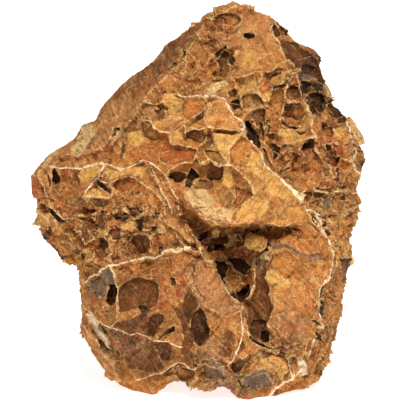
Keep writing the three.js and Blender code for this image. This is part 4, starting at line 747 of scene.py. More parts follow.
    Facet(UMBER, 0.3, (-89, 78, -83, 74, -70, 68, -50, 65, -50, 82, -55, 88, -70, 82), 0.0, 1.0),
    Facet(BARK, 2.4, (-101, 77, -97, 74, -93, 69, -94, 66, -98, 70, -101, 74), 0.2, 1.0),
    # Painted light: this plate faces away from the key lamp, and its chalk is paler than the stone there to
    # make up for it.
    Facet(CHALK, 0.0, (-113, 87, -107, 88, -104, 80, -99, 71, -93, 65, -88, 52, -90, 51, -103, 65, -110,
          76), 0.0, 0.8),
    Facet(OLIVE, 1.6, (-103, 63, -97, 60, -90, 51, -81, 50, -80, 42, -86, 36, -98, 45), 0.2, 0.8),
    Facet(MAUVE, 0.0, (-117, 78, -112, 75, -103, 57, -90, 40, -80, 29, -76, 20, -87, 20, -102, 38, -115,
          60), 0.0, 0.6),
    Facet(MAUVE, 0.1, (2, 54, 10, 63, 18, 68, 24, 64, 22, 54, 16, 46, 8, 46), 0.0, 0.9),
    Facet(UMBER, 0.4, (20, 66, 28, 72, 36, 66, 35, 56, 30, 42, 18, 47, 24, 55), 0.1, 0.8),
    Facet(UMBER, 0.7, (23, 51, 30, 54, 33, 49, 29, 43), 0.1, 0.5),
    Facet(GREY, 0.2, (2, 32, 12, 44, 20, 38, 26, 34, 26, 26, 16, 22, 6, 26), 0.0, 0.9),
    Facet(BARK, 0.7, (38, 61, 42, 63, 45, 56, 40, 48, 35, 45, 36, 53), 0.1),
    Facet(UMBER, 2.0, (32, 37, 40, 42, 50, 47, 52, 43, 44, 37, 39, 31, 34, 29), 0.2, 0.95),
    Facet(GREY, 0.2, (38, 21, 48, 29, 60, 33, 70, 29, 74, 23, 72, 16, 66, 12, 54, 13, 42, 15), 0.0, 0.9),
    # The block
    Facet(UMBER, 0.8, (57, 144, 68, 140, 66, 132, 66, 124, 67, 116, 69, 108, 71, 96, 70, 86, 66, 76, 58, 62,
          49, 68, 45, 84, 50, 98, 54, 114, 55, 128), 0.0),
    Facet(BARK, 1.8, (49, 72, 54, 82, 66, 81, 66, 74, 62, 68, 59, 61, 52, 64), 0.0, 0.7),
    Facet(BARK, 3.8, (60, 70, 64, 71, 67, 64, 65, 60, 60, 62), 0.1, 1.0),
    Facet(BARK, 3.0, (49, 67, 58, 60, 68, 54, 75, 51, 68, 52, 57, 57, 49, 64), 0.2, 1.0),
    Facet(GOLD, -0.2, (67, 130, 72, 131, 80, 125, 88, 122, 90, 114, 80, 112, 71, 114, 67, 120), -0.1, 0.9),
    Facet(MAUVE, 0.0, (72, 110, 92, 114, 102, 120, 112, 132, 118, 120, 117, 96, 100, 88, 72, 90), -0.05,
          0.5),
    Facet(RUST, 0.4, (101, 122, 104, 120, 108, 108, 106, 106), 0.0, 0.8),
    Facet(RUST, 0.3, (111, 102, 114, 100, 112, 88, 109, 88), 0.0, 0.7),
    Facet(BARK, 2.0, (110, 82, 115, 82, 120, 77, 119, 75, 114, 78), 0.2, 1.0),
    Facet(UMBER, 0.9, (68, 76, 74, 73, 81, 65, 79, 64, 73, 70)),
    Facet(UMBER, 0.7, (69, 115, 74, 118, 82, 121, 90, 127, 93, 133, 94, 132, 91, 126, 82, 120, 72, 114)),
    Facet(UMBER, 0.8, (71, 154, 70, 142, 67, 134, 60, 126, 63, 125, 70, 133, 73, 142)),
    Facet(BARK, 2.8, (119, 109, 121, 114, 126, 116, 124, 110, 121, 103, 119, 104), 0.2, 1.0),
    Facet(BARK, 2.4, (120, 102, 124, 99, 124, 86, 121, 82, 120, 92), 0.0, 1.0),
    Facet(OCHRE, 0.2, (131, 115, 142, 115, 145, 107, 134, 106), 0.0, 0.9),
    Facet(UMBER, 1.2, (141, 132, 145, 128, 146, 119, 143, 115, 142, 123), 0.0, 0.9),
    Facet(OLIVE, 0.8, (126, 74, 134, 80, 138, 72, 138, 67, 134, 62, 127, 60), 0.0),
    Facet(BARK, 2.6, (117, 60, 122, 67, 124, 58, 119, 58), 0.2, 1.0),
    Facet(BRICK, 1.8, (112, 54, 121, 57, 122, 51, 116, 44, 109, 45), 0.1, 0.9),
    Facet(UMBER, 1.8, (120, 40, 124, 49, 130, 54, 128, 47, 123, 40)),
    Facet(RUST, 1.2, (105, 57, 108, 64, 110, 54, 106, 48), 0.0, 0.9),
    Facet(GREY, 1.2, (85, 43, 92, 45, 93, 39, 88, 37), 0.1, 0.9),
    Facet(BRICK, 1.2, (90, 38, 97, 36, 95, 29, 90, 32), 0.1, 0.7),
    Facet(CHALK, -0.3, (103, 42, 106, 41, 106, 32, 107, 27, 101, 25, 100, 30, 102, 36), 0.0, 0.9),
    Facet(UMBER, 1.6, (101, 23, 111, 29, 113, 26, 104, 21)),
    Facet(GREY, 1.0, (51, 50, 60, 49, 69, 45, 60, 43), 0.0, 0.9),
    Facet(GOLD, 0.0, (60, 44, 76, 45, 84, 40, 89, 30, 80, 20, 74, 26, 71, 33, 60, 35), 0.0, 0.7),
    Facet(UMBER, 0.8, (72, 34, 74, 33, 77, 26, 83, 22, 81, 20, 75, 24)),
    Facet(UMBER, 1.0, (72, 9, 77, 12, 81, 10, 74, 4), 0.0, 0.8),
    # The gaps between the thin walls of the right lobe
    Facet(BARK, 2.2, (112, 185, 115, 186, 117, 178, 115, 176, 113, 180), 0.2, 1.0),
    Facet(GREY, 1.0, (122, 202, 131, 203, 130, 192, 125, 190, 122, 195), 0.2, 0.8),
    Facet(OLIVE, 1.0, (136, 190, 143, 189, 141, 178, 138, 170, 135, 176), 0.2, 0.9),
    Facet(BARK, 2.4, (142, 204, 148, 206, 147, 200, 143, 199), 0.2, 1.0),
    Facet(BARK, 2.0, (147, 189, 154, 190, 153, 184, 149, 183), 0.2, 0.9),
    Facet(BARK, 2.4, (127, 172, 131, 171, 131, 164, 128, 165), 0.2, 1.0),
    Facet(BARK, 2.0, (149, 142, 155, 142, 153, 138, 149, 139), 0.2, 0.9),
    Facet(OCHRE, 0.6, (32, 119, 38, 118, 45, 117, 44, 112, 38, 108, 33, 109), -0.2, 1.0),
)


def smooth_step(values: np.ndarray, low: float, high: float) -> np.ndarray:
    """Rises smoothly from 0 at one value to 1 at another.

    Args:
        values: what is looked at.
        low: the value that gives 0.
        high: the value that gives 1.

    Returns:
        The share of each value.
    """
    share = np.clip((values - low) / (high - low), 0.0, 1.0)
    return share * share * (3.0 - 2.0 * share)


def wandering(places: np.ndarray, size: float, reach: float) -> np.ndarray:
    """Gives each place a smooth random shift.

    Args:
        places: a row of three for each point, in millimetres.
        size: how far apart the shifts turn.
        reach: how long they are.

    Returns:
        The shifts, a row of three each.
    """
    return reach * np.array([noise.noise_vector(Vector(row)) for row in places / size])


def deselect_all() -> None:
    """Leaves nothing selected, in object mode."""
    if bpy.context.object is not None and bpy.context.object.mode != "OBJECT":
        bpy.ops.object.mode_set(mode="OBJECT")
    bpy.ops.object.select_all(action="DESELECT")


def make_active(piece: bpy.types.Object) -> None:
    """Selects one piece alone and makes it the one that operators work on.

    Args:
        piece: the object.
    """
    deselect_all()
    piece.select_set(True)
    bpy.context.view_layer.objects.active = piece


class Fabric:
    """A mesh's points and edges as arrays, with averages over neighbouring points."""

    def __init__(self, mesh: bpy.types.Mesh) -> None:
        """Reads the mesh.

        Args:
            mesh: the mesh.
        """
        self.mesh = mesh
        self.count = len(mesh.vertices)
        ends = np.empty(len(mesh.edges) * 2, np.int32)
        mesh.edges.foreach_get("vertices", ends)
        self.first, self.second = ends.reshape(-1, 2).T
        self.degree = np.bincount(ends, minlength=self.count).astype(float)

    def places(self) -> np.ndarray:
        """The points' places in millimetres, a row each."""
        flat = np.empty(self.count * 3, np.float32)
        self.mesh.vertices.foreach_get("co", flat)
        return flat.reshape(-1, 3).astype(float) / MM

    def move(self, places: np.ndarray) -> None:
        """Puts the points somewhere else.

        Args:
            places: their new places in millimetres, a row each.
        """
        self.mesh.vertices.foreach_set("co", (places * MM).astype(np.float32).ravel())
        self.mesh.update()

    def normals(self) -> np.ndarray:
        """The points' outward directions, a row each."""
        flat = np.empty(self.count * 3, np.float32)
        self.mesh.vertex_normals.foreach_get("vector", flat)
        return flat.reshape(-1, 3).astype(float)

    def averaged(self, values: np.ndarray, rounds: int) -> np.ndarray:
        """Averages values with those of the points next to each point.

        Args:
            values: one column or more, a row for each point.
            rounds: how often it is done.

        Returns:
            The averaged values.
        """
        columns = [values] if values.ndim == 1 else list(values.T)
        done = []
        for column in columns:
            for _ in range(rounds):
                total = np.bincount(self.first, column[self.second], self.count)
                total += np.bincount(self.second, column[self.first], self.count)
                column = (column + total) / (1.0 + self.degree)
            done.append(column)
        return done[0] if values.ndim == 1 else np.stack(done, axis=1)

    def write(self, name: str, values: np.ndarray) -> None:
        """Keeps values on the mesh under a name.

        Args:
            name: the name.
            values: one number or a row of three for each point.
        """
        kind, key = ("FLOAT", "value") if values.ndim == 1 else ("FLOAT_VECTOR", "vector")
        held = self.mesh.attributes.get(name) or self.mesh.attributes.new(name, kind, "POINT")
        held.data.foreach_set(key, values.astype(np.float32).ravel())


class Graph:
    """A node tree, with short ways of adding to it that are the same for a mesh's tree and a material's."""

    def __init__(self, tree: bpy.types.NodeTree) -> None:
        """Starts on an empty tree.

        Args:
            tree: the tree.
        """
        self.tree = tree
        tree.nodes.clear()

    def node(self, kind: str, **settings: object) -> bpy.types.Node:
        """Adds a node.

        Args:
            kind: the node's type.
            settings: its properties.

        Returns:
            The node.
        """
        made = self.tree.nodes.new(kind)
        for name, value in settings.items():
            setattr(made, name, value)
        return made

    def feed(self, socket: bpy.types.NodeSocket, value: object) -> None:
        """Links a socket, or sets it.

        Args:
            socket: the input.
            value: another node's output, or a plain value.
        """
        if isinstance(value, bpy.types.NodeSocket):
            self.tree.links.new(value, socket)
        else:
            socket.default_value = value

    def sum(self, operation: str, *values: object) -> bpy.types.NodeSocket:
        """Works on numbers.

        Args:
            operation: what a Math node does.
            values: its inputs.

        Returns:
            The result.
        """
        made = self.node("ShaderNodeMath", operation=operation)
        for socket, value in zip(made.inputs, values):
            self.feed(socket, value)
        return made.outputs[0]

    def times(self, first: object, *others: object) -> bpy.types.NodeSocket:
        """Multiplies numbers.

        Args:
            first: the first number.
            others: what it is multiplied by, one after another.

        Returns:
            The product.
        """
        for other in others:
            first = self.sum("MULTIPLY", first, other)
        return first

    def arrow(self, operation: str, *values: object) -> bpy.types.NodeSocket:
        """Works on vectors.

        Args:
            operation: what a Vector Math node does.
            values: its vector inputs.

        Returns:
            The result, a number for a dot product.
        """
        made = self.node("ShaderNodeVectorMath", operation=operation)
        for socket, value in zip(made.inputs, values):
            self.feed(socket, value)
        return made.outputs["Value" if operation == "DOT_PRODUCT" else "Vector"]

    def ramp(self, value: object, low: float, high: float, start: float = 0.0,
             end: float = 1.0) -> bpy.types.NodeSocket:
        """Turns one range of a number smoothly into another.

        Args:
            value: the number.
            low: where the range starts.
            high: where it ends.
            start: what low becomes.
            end: what high becomes.

        Returns:
            The result.
        """
        made = self.node("ShaderNodeMapRange", interpolation_type="SMOOTHSTEP")
        for name, given in (("Value", value), ("From Min", low), ("From Max", high),
                            ("To Min", start), ("To Max", end)):
            self.feed(made.inputs[name], given)
        return made.outputs["Result"]

    def mixed(self, share: object, first: object, second: object) -> bpy.types.NodeSocket:
        """Mixes two colours.

        Args:
            share: how much of the second.
            first: a colour.
            second: a colour.

        Returns:
            The colour.
        """
        made = self.node("ShaderNodeMix", data_type="RGBA")
        ends = {socket.identifier: socket for socket in made.inputs}
        self.feed(ends["Factor_Float"], share)
        self.feed(ends["A_Color"], first)
        self.feed(ends["B_Color"], second)
        return next(socket for socket in made.outputs if socket.identifier == "Result_Color")

    def noise(self, place: object, size: float, detail: float = 2.0,
              rough: float = 0.5) -> tuple[bpy.types.NodeSocket, bpy.types.NodeSocket]:
        """Soft random clouds.

        Args:
            place: where, in millimetres.
            size: how wide a cloud is, in millimetres.
            detail: how many finer ones it has in it.
            rough: how strong those are.

        Returns:
            The cloud as a number about 0.5, and as three numbers.
        """
        made = self.node("ShaderNodeTexNoise")
        given = {"Vector": place, "Scale": 1.0 / size, "Detail": detail, "Roughness": rough}
        for name, value in given.items():
            self.feed(made.inputs[name], value)
        return made.outputs[0], made.outputs[1]

    def cells(self, place: object, level: CellLevel) -> dict[str, bpy.types.NodeSocket]:
        """Broken plates and open cells, each with its floor leaning its own way.

        Between plates, the higher one ends in a thin lip and the lower one starts in a groove. Open cells
        have one wall all round.

        Args:
            place: where, in millimetres.
            level: the cells' size and depth.

        Returns:
            How deep the cell is there in millimetres, its pale edge from 0 to 1, the shade under a
            neighbour's lip from 0 to 1, and a number of its own.
        """
        drift = self.arrow("SUBTRACT", self.noise(place, level.size * 0.7, 2.0, 0.6)[1], (0.5, 0.5, 0.5))
        drift = self.arrow("MULTIPLY", drift, (level.wander * 2.0,) * 3)
        moved = self.arrow("ADD", self.arrow("ADD", place, level.shift), drift)
        scaled = self.arrow("MULTIPLY", moved, (1.0 / level.size,) * 3)
        near, other, edge = (self.voronoi(scaled, feature) for feature in ("F1", "F2", "DISTANCE_TO_EDGE"))
        own, beside = self.parts(near.outputs["Color"]), self.parts(other.outputs["Color"])
        leaning = self.arrow("MULTIPLY", self.arrow("SUBTRACT", near.outputs["Color"], (0.5, 0.5, 0.5)),
                             (2.0 * level.lean,) * 3)
        leaning = self.arrow("ADD", leaning, (0.0, 0.0, level.overhang))
        lean = self.arrow("DOT_PRODUCT", self.arrow("SUBTRACT", scaled, near.outputs["Position"]), leaning)
        gap = edge.outputs["Distance"]
        close = self.ramp(gap, 0.0, level.rim / level.size, 1.0, 0.0)
        rises = self.sum("SUBTRACT", beside["X"], own["X"])
        lip = self.times(close, self.ramp(rises, 0.05, 0.35))
        groove = self.times(close, self.ramp(rises, -0.05, -0.35))
        plate = self.sum("ADD", self.times(own["X"], 1.3), lean)
        plate = self.sum("ADD", plate, self.sum("SUBTRACT", self.times(groove, 0.25), self.times(lip, 0.4)))
        rise = self.sum("MINIMUM", self.sum("DIVIDE", gap, level.wall), 1.0)
        bowl = self.times(rise, self.sum("SUBTRACT", 2.0, rise))
        share = self.sum("ADD", lean, self.sum("ADD", 0.4, self.times(own["X"], 0.7)))
        share = self.times(self.sum("MAXIMUM", share, 0.05), bowl)
        plate, share = self.times(plate, 1.0 - level.open), self.times(share, level.open)
        return {
            "deep": self.times(self.sum("ADD", plate, share), level.deep),
            "wall": self.sum("MAXIMUM", lip, self.times(close, level.open)),
            "shade": self.sum("MAXIMUM", groove, self.times(bowl, level.open, own["Z"])),
            "own": own["Y"],
        }

    def streaks(self, place: object, turn: float) -> bpy.types.NodeSocket:
        """Long thin clouds that run one way on the front.

        Args:
            place: where, in millimetres.
            turn: how far they are turned from level, in radians.

        Returns:
            The clouds, about 0.5.
        """
        turned = self.node("ShaderNodeVectorRotate", rotation_type="Y_AXIS")
        self.feed(turned.inputs["Vector"], place)
        self.feed(turned.inputs["Angle"], turn)
        sizes = (1.0 / STREAK_LONG, 1.0 / STREAK_LONG, 1.0 / STREAK_WIDE)
        return self.noise(self.arrow("MULTIPLY", turned.outputs[0], sizes), 1.0, 3.0, 0.6)[0]

    def voronoi(self, place: object, feature: str) -> bpy.types.Node:
        """Adds a Voronoi node for one feature of the cells at a place."""
        made = self.node("ShaderNodeTexVoronoi", voronoi_dimensions="3D", feature=feature)
        self.feed(made.inputs["Vector"], place)
        self.feed(made.inputs["Scale"], 1.0)
        return made

    def threefold(self, value: object) -> bpy.types.NodeSocket:
        """A vector with the same number three times."""
        made = self.node("ShaderNodeCombineXYZ")
        for socket in made.inputs:
            self.feed(socket, value)
        return made.outputs[0]

    def parts(self, value: object) -> dict[str, bpy.types.NodeSocket]:
        """The three numbers of a vector or colour, by axis."""
        made = self.node("ShaderNodeSeparateXYZ")
        self.feed(made.inputs[0], value)
        return {socket.name: socket for socket in made.outputs}


@dataclass
class LeafyStone:
    """The stone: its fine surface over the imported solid, and where each roughness and colour lies.

    Lengths are in millimetres, apart from the voxel's. A range gives where something starts and where it is
    whole, for points that face the eye by that much: 1 is squarely and 0 is edge on.
    """

    plane: PicturePlane
    seed: int = 7
    voxel: float = 0.58 * MM
    settle_rounds: int = 6
    push_rounds: int = 14
    around_rounds: int = 60
    most_triangles: int = 196000
    crisp_angle: float = 48.0
    flat_foot: float = 0.6
    foot_fades: float = 3.0
    wanders: tuple[tuple[float, float], ...] = ((7.0, 0.8), (2.4, 0.4))
    front_range: tuple[float, float] = (0.0, 0.4)
    shown_range: tuple[float, float] = (-0.15, 0.1)
    ground_range: tuple[float, float] = (-0.4, -0.05)
    least_shown: float = 0.02
    smooth_back: tuple[float, ...] = (0.35, 0.12, 0.3, 0.5, 0.6, 0.3)
    rough_back: tuple[float, ...] = (0.7, 1.1, 0.8, 0.5, 0.1, 0.1)
    back_patch: float = 30.0
    web_reach: float = 7.0
    bowl_reach: float = 3.6
    ledge_range: tuple[float, float] = (0.1, 1.3)
    ledge_fall: float = 0.65
    slope_share: float = 0.4
    ridge_height: float = 0.7
    ridge_least: float = 0.5
    ridge_broad: float = 1.2
    side_most: float = 3.0
    facet_edge: float = 0.5
    edge_reach: float = 2.5
    edge_tie: float = 0.25
    fewest_points: int = 6
    stray_most: float = 2.0
    side_lean: float = 0.12
    least_facing: float = 0.45
    eye_pull: float = 0.8
    most_shift: float = 2.6
    flat_calm: tuple[float, float, float] = (0.85, 0.65, 0.25)
    rib_height: float = 1.6
    grain_height: float = 0.5
    relief_lift: float = 0.5
    front_care: float = 0.0004
    care_steps: int = 10
    least_care: float = 0.02
    front: np.ndarray = field(init=False)

    def build(self) -> bpy.types.Object:
        """Makes the finished mesh.

        Returns:
            The stone.
        """
        noise.seed_set(self.seed)
        stone = self.fine_copy()
        self.lay_out(stone.data)
        self.press(stone)
        self.settle(stone)
        self.thin(stone)
        return stone

    def fine_copy(self) -> bpy.types.Object:
        """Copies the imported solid, merges its loose triangles and remeshes it finely.

        Returns:
            The copy.
        """
        stone = bpy.data.objects.new("leafy_stone", frame["nodes"][NODE].data.copy())
        bpy.context.scene.collection.objects.link(stone)
        stone.data.materials.clear()
        make_active(stone)
        bpy.ops.object.mode_set(mode="EDIT")
        bpy.ops.mesh.select_all(action="SELECT")
        bpy.ops.mesh.remove_doubles(threshold=0.01 * MM)
        bpy.ops.object.mode_set(mode="OBJECT")
        remesh = stone.modifiers.new("fine", "REMESH")
        remesh.mode = "VOXEL"
        remesh.voxel_size = self.voxel
        bpy.ops.object.modifier_apply(modifier=remesh.name)
        self.drop_crumbs(stone)
        return stone

    def drop_crumbs(self, stone: bpy.types.Object) -> None:
        """Deletes the loose crumbs that the remeshing leaves beside the stone itself.

        Args:
            stone: the active stone.
        """
        top = int(np.argmax(Fabric(stone.data).places()[:, 2]))
        bpy.ops.object.mode_set(mode="EDIT")
        bpy.ops.mesh.select_mode(type="VERT")
        bpy.ops.mesh.select_all(action="DESELECT")
        bpy.ops.object.mode_set(mode="OBJECT")
        stone.data.vertices[top].select = True
        bpy.ops.object.mode_set(mode="EDIT")
        bpy.ops.mesh.select_linked()
        bpy.ops.mesh.select_all(action="INVERT")
        bpy.ops.mesh.delete(type="VERT")
        bpy.ops.object.mode_set(mode="OBJECT")
        LOG.info("fine copy: %d points", len(stone.data.vertices))

    def lay_out(self, mesh: bpy.types.Mesh) -> None:
        """Smooths the solid's facets a little and writes on the mesh what the relief and the finish read.

        Args:
            mesh: the fine mesh.
        """
        fabric = Fabric(mesh)
        places = fabric.places()
        foot = places[:, 2] < self.flat_foot
        calm = fabric.averaged(places, self.settle_rounds)
        calm[foot, 2] = places[foot, 2]
        fabric.move(calm)
        push = fabric.averaged(fabric.normals(), self.push_rounds)
        push /= np.linalg.norm(push, axis=1, keepdims=True) + 1e-9
        seen = self.plane.seen(calm)
        for size, reach in self.wanders:
            seen[:, :2] += wandering(calm, size, reach)[:, :2]
        eye = np.array(self.plane.towards_eye())
        facing = push @ eye
        front = smooth_step(facing, *self.front_range)
        shown = smooth_step(facing, *self.shown_range)
        fabric.write("form", calm)
        fabric.write("held", 1.0 - smooth_step(calm[:, 2], self.flat_foot, self.foot_fades))
        grounds = self.grounds(calm, seen, smooth_step(facing, *self.ground_range))
        carve, ridge = self.write_crests(fabric, seen, front, grounds[:, 3])
        tone = self.stained(seen, shown)
        flat = self.flatten(fabric, seen, facing, shown, carve, tone)
        fabric.write("push", push + self.eye_pull * flat[:, None] * (eye - push))
        grounds[:, :3] *= 1.0 - flat[:, None] * np.array(self.flat_calm)
        for name, column in zip(("scoop", "cell", "grit", "web", *STREAKS, "plate"), grounds.T):
            fabric.write(name, column)
        fabric.write("carve", carve + ridge)
        fabric.write("flat", flat)
        fabric.write("tone", tone)
        self.front = front

    def grounds(self, places: np.ndarray, seen: np.ndarray, front: np.ndarray) -> np.ndarray:
        """Works out how strong each size of cell is, from the grounds.

        Args:
            places: the points' places.
            seen: the points' places on the picture plane.
            front: how much each point faces the eye.

        Returns:
            The strengths of the three sizes, of the web, of the two ways of streaks and of the plates, a row
            for each point.
        """
        weights = np.zeros(len(seen))
        parts = np.zeros((len(seen), 7))
        for ground in GROUNDS:
            weight = front * (1.0 - smooth_step(ground.spot.reach(seen), 0.55, 1.25)) ** 1.5
            weights += weight
            cells, streaks = (ground.scoop, ground.cell, ground.grit), (ground.rising, ground.falling)
            parts += weight[:, None] * np.array((*cells, ground.web, *streaks, 0.0))
        rest = np.maximum(0.0, 1.0 - weights) + 0.02
        patch = smooth_step(wandering(places, self.back_patch, 1.0)[:, :1], -0.12, 0.2)
        elsewhere = np.array(self.smooth_back) * (1.0 - patch) + np.array(self.rough_back) * patch
        elsewhere = np.column_stack([elsewhere, 1.0 - front])
        return (parts + rest[:, None] * elsewhere) / (weights + rest)[:, None]

    def write_crests(self, fabric: Fabric, seen: np.ndarray, front: np.ndarray,
                     web: np.ndarray) -> tuple[np.ndarray, np.ndarray]:
        """Writes how near each point is to a crest, and works out the relief that the crests give.

        Args:
            fabric: the mesh.
            seen: the points' places on the picture plane.
            front: how much each point faces the eye.
            web: how strongly the stone drops away beside a crest.

        Returns:
            The drop beside the crests, below 0, and the ridge on them.
        """
        far = np.full(len(seen), self.web_reach)
        side = np.full(len(seen), self.web_reach)
        pale, proud, broad = np.zeros(len(seen)), np.zeros(len(seen)), np.full(len(seen), 0.5)
        below, drop = np.zeros(len(seen)), np.zeros(len(seen))
        shown = np.flatnonzero(front > self.least_shown)
        for crest in CRESTS:
            line = rows_of(crest.line)
            for start, end in zip(line, line[1:]):
                low = np.minimum(start, end) - self.web_reach
                high = np.maximum(start, end) + self.web_reach
                spots = seen[shown, :2]
                near = shown[np.all((spots > low) & (spots < high), axis=1)]
                away = seen[near, :2] - start
                run = end - start
                share = np.clip(away @ run / (run @ run), 0.0, 1.0)
                offset = away - share[:, None] * run
                gap = np.hypot(offset[:, 0], offset[:, 1])
                turned = np.sign(run[0] * away[:, 1] - run[1] * away[:, 0])
                closer = gap < far[near]
                won = near[closer]
                far[won], side[won] = gap[closer], (gap * turned)[closer]
                pale[won], proud[won], broad[won] = crest.pale, crest.proud, crest.broad
                drop[won] = abs(crest.drop)
                lower = -math.copysign(1.0, crest.drop) * offset[closer, 1]
                below[won] = np.clip(lower / (gap[closer] + 0.1), 0.0, 1.0)
        fall = self.ledge_fall * smooth_step(far, self.ledge_range[1], self.web_reach)
        ledge = smooth_step(far, *self.ledge_range) * (1.0 - fall)
        slope = self.slope_share * (1.0 - (1.0 - np.clip(far / self.bowl_reach, 0.0, 1.0)) ** 2)
        bowl = (below * ledge + (1.0 - below) * slope) * drop * (0.4 + web)
        width = self.ridge_least + self.ridge_broad * broad
        ridge = self.ridge_height * proud * np.exp(-((far / width) ** 2))
        fabric.write("vein_far", np.where(front > self.least_shown, far, self.web_reach))
        fabric.write("vein_side", np.clip(side, -self.side_most, self.side_most))
        fabric.write("vein_pale", pale * front)
        fabric.write("vein_broad", broad)
        return -bowl * front, ridge * front

    def stained(self, seen: np.ndarray, front: np.ndarray) -> np.ndarray:
        """Works out the stone's own colour, from the soft patches.

        Args:
            seen: the points' places on the picture plane.
            front: how much each point faces the eye.

        Returns:
            The colour, a row for each point.
        """
        tone = np.tile(np.array(OCHRE.linear()), (len(seen), 1))
        for stain in STAINS:
            share = stain.share * front * (1.0 - smooth_step(stain.spot.reach(seen), 0.5, 1.3))
            tone += share[:, None] * (np.array(stain.tone.linear()) - tone)
        return tone

    def flatten(self, fabric: Fabric, seen: np.ndarray, facing: np.ndarray, shown: np.ndarray,
                carve: np.ndarray, tone: np.ndarray) -> np.ndarray:
        """Adds the flat broken faces to the relief and to the colour, and writes how near their edges are.

        Args:
            fabric: the mesh.
            seen: the points' places on the picture plane.
            facing: how squarely each point faces the eye.
            shown: how much each point shows from the front.
            carve: the relief so far, which is changed.
            tone: the colour so far, which is changed.

        Returns:
            How much each point belongs to a flat face.
        """
        flat = np.zeros(len(seen))
        edge, steep = np.full(len(seen), self.edge_reach), np.zeros(len(seen))
        front = smooth_step(facing, *self.front_range)
        visible = np.flatnonzero(shown > self.least_shown)
        spots = seen[visible, :2]
        for facet in FACETS:
            outline = facet.outline()
            low, high = outline.min(axis=0) - self.edge_reach, outline.max(axis=0) + self.edge_reach
            near = visible[np.all((spots > low) & (spots < high), axis=1)]
            inward = facet.inward(seen[near, :2])
            core = near[inward > 0.0]
            if len(core) < self.fewest_points:
                continue
            middle = outline.mean(axis=0)
            level = self.fitted(seen, core, near, middle)
            sideways = self.side_lean * math.sin(5.0 * middle[0] + 3.0 * middle[1])
            away = seen[near, :2] - middle
            level -= facet.deep + facet.lean * away[:, 1] + sideways * away[:, 0]
            pulled = facing[near] + self.eye_pull * (1.0 - facing[near])
            shift = (level - seen[near, 2]) / np.maximum(pulled, self.least_facing)
            shift = np.clip(shift, -facet.deep - self.most_shift, self.most_shift - facet.deep)
            weight = smooth_step(inward, -0.1, self.facet_edge)
            carve[near] += weight * front[near] * (shift - carve[near])
            paint = smooth_step(inward, -0.35, 0.25) * shown[near] * facet.share
            tone[near] += paint[:, None] * (np.array(facet.tone.linear()) - tone[near])
            flat[near] = np.maximum(flat[near], weight * shown[near])
            closer = np.abs(inward) < np.abs(edge[near]) + self.edge_tie
            edge[near[closer]] = inward[closer]
            steep[near[closer]] = facet.deep
        fabric.write("edge", np.clip(edge, -self.edge_reach, self.edge_reach))
        fabric.write("steep", steep)
        return flat

    def fitted(self, seen: np.ndarray, core: np.ndarray, near: np.ndarray, middle: np.ndarray) -> np.ndarray:
        """Lays a plane through the points of a face, leaving out those that lie far from it.

        Args:
            seen: the points' places on the picture plane.
            core: which points lie in the face.
            near: which points the plane is wanted for.
            middle: the face's middle.

        Returns:
            The plane's depth at each near point.
        """
        for _ in range(2):
            rows = np.column_stack([seen[core, :2] - middle, np.ones(len(core))])
            slope = np.linalg.lstsq(rows, seen[core, 2], rcond=None)[0]
            off = np.abs(rows @ slope - seen[core, 2])
            core = core[off <= self.stray_most * max(1.0, float(np.median(off)))]
        return np.column_stack([seen[near, :2] - middle, np.ones(len(near))]) @ slope

    def press(self, stone: bpy.types.Object) -> None:
        """Pushes every point along its normal by the relief, through a mesh tree that is then applied.

        Args:
            stone: the stone.
        """
        tree = bpy.data.node_groups.new("leafy_relief", "GeometryNodeTree")
        for way in ("INPUT", "OUTPUT"):
            tree.interface.new_socket("Geometry", in_out=way, socket_type="NodeSocketGeometry")
        graph = Graph(tree)
        entry, leave = graph.node("NodeGroupInput"), graph.node("NodeGroupOutput")
        held = {name: self.kept(graph, name) for name in (*LEVELS, "carve", "held", *STREAKS)}
        form, push = self.kept(graph, "form", "FLOAT_VECTOR"), self.kept(graph, "push", "FLOAT_VECTOR")
        uneven = graph.ramp(graph.noise(form, 22.0)[0], 0.3, 0.7, 0.55, 1.25)
        deep = 0.0
        for name, level in LEVELS.items():
            deep = graph.sum("ADD", deep, graph.times(graph.cells(form, level)["deep"], held[name]))
        grain = graph.sum("SUBTRACT", graph.noise(form, 1.6, 3.0, 0.6)[0], 0.5)
        relief = graph.sum("SUBTRACT", graph.times(grain, self.grain_height), graph.times(deep, uneven))
        for name, turn in STREAKS.items():
            ribs = graph.sum("SUBTRACT", graph.streaks(form, turn), 0.5)
            relief = graph.sum("ADD", relief, graph.times(ribs, held[name], self.rib_height))
        relief = graph.sum("ADD", graph.sum("ADD", relief, self.relief_lift), held["carve"])
        free = graph.sum("SUBTRACT", 1.0, held["held"])
        relief = graph.times(relief, graph.times(free, MM))
        offset = graph.arrow("MULTIPLY", push, graph.threefold(relief))
        mover = graph.node("GeometryNodeSetPosition")
        graph.feed(mover.inputs["Geometry"], entry.outputs[0])
        graph.feed(mover.inputs["Offset"], offset)
        graph.feed(leave.inputs[0], mover.outputs[0])
        relief_step = stone.modifiers.new("relief", "NODES")
        relief_step.node_group = tree
        make_active(stone)
        bpy.ops.object.modifier_apply(modifier=relief_step.name)

    def kept(self, graph: Graph, name: str, kind: str = "FLOAT") -> bpy.types.NodeSocket:
        """Reads what the mesh keeps under a name, inside the mesh's tree.

        Args:
            graph: the tree.
            name: the name.
            kind: whether it is a number or three.

        Returns:
            The values.
        """
        made = graph.node("GeometryNodeInputNamedAttribute", data_type=kind)
        made.inputs["Name"].default_value = name
        return next(socket for socket in made.outputs if socket.name == "Attribute" and socket.enabled)

    def settle(self, stone: bpy.types.Object) -> None:
        """Writes how far each point lies below the stone around it, and keeps the feet on the floor.

        Args:
            stone: the stone.
        """
        fabric = Fabric(stone.data)
        places = fabric.places()
        places[:, 2] = np.maximum(places[:, 2], 0.0)
        fabric.move(places)
        around = fabric.averaged(places, self.around_rounds)
        hollow = np.sum((around - places) * fabric.averaged(fabric.normals(), 3), axis=1)
        close = fabric.averaged(places, 5)
        nick = np.sum((close - places) * fabric.normals(), axis=1)
        fabric.write("hollow", hollow)
        fabric.write("nick", fabric.averaged(nick, 1))

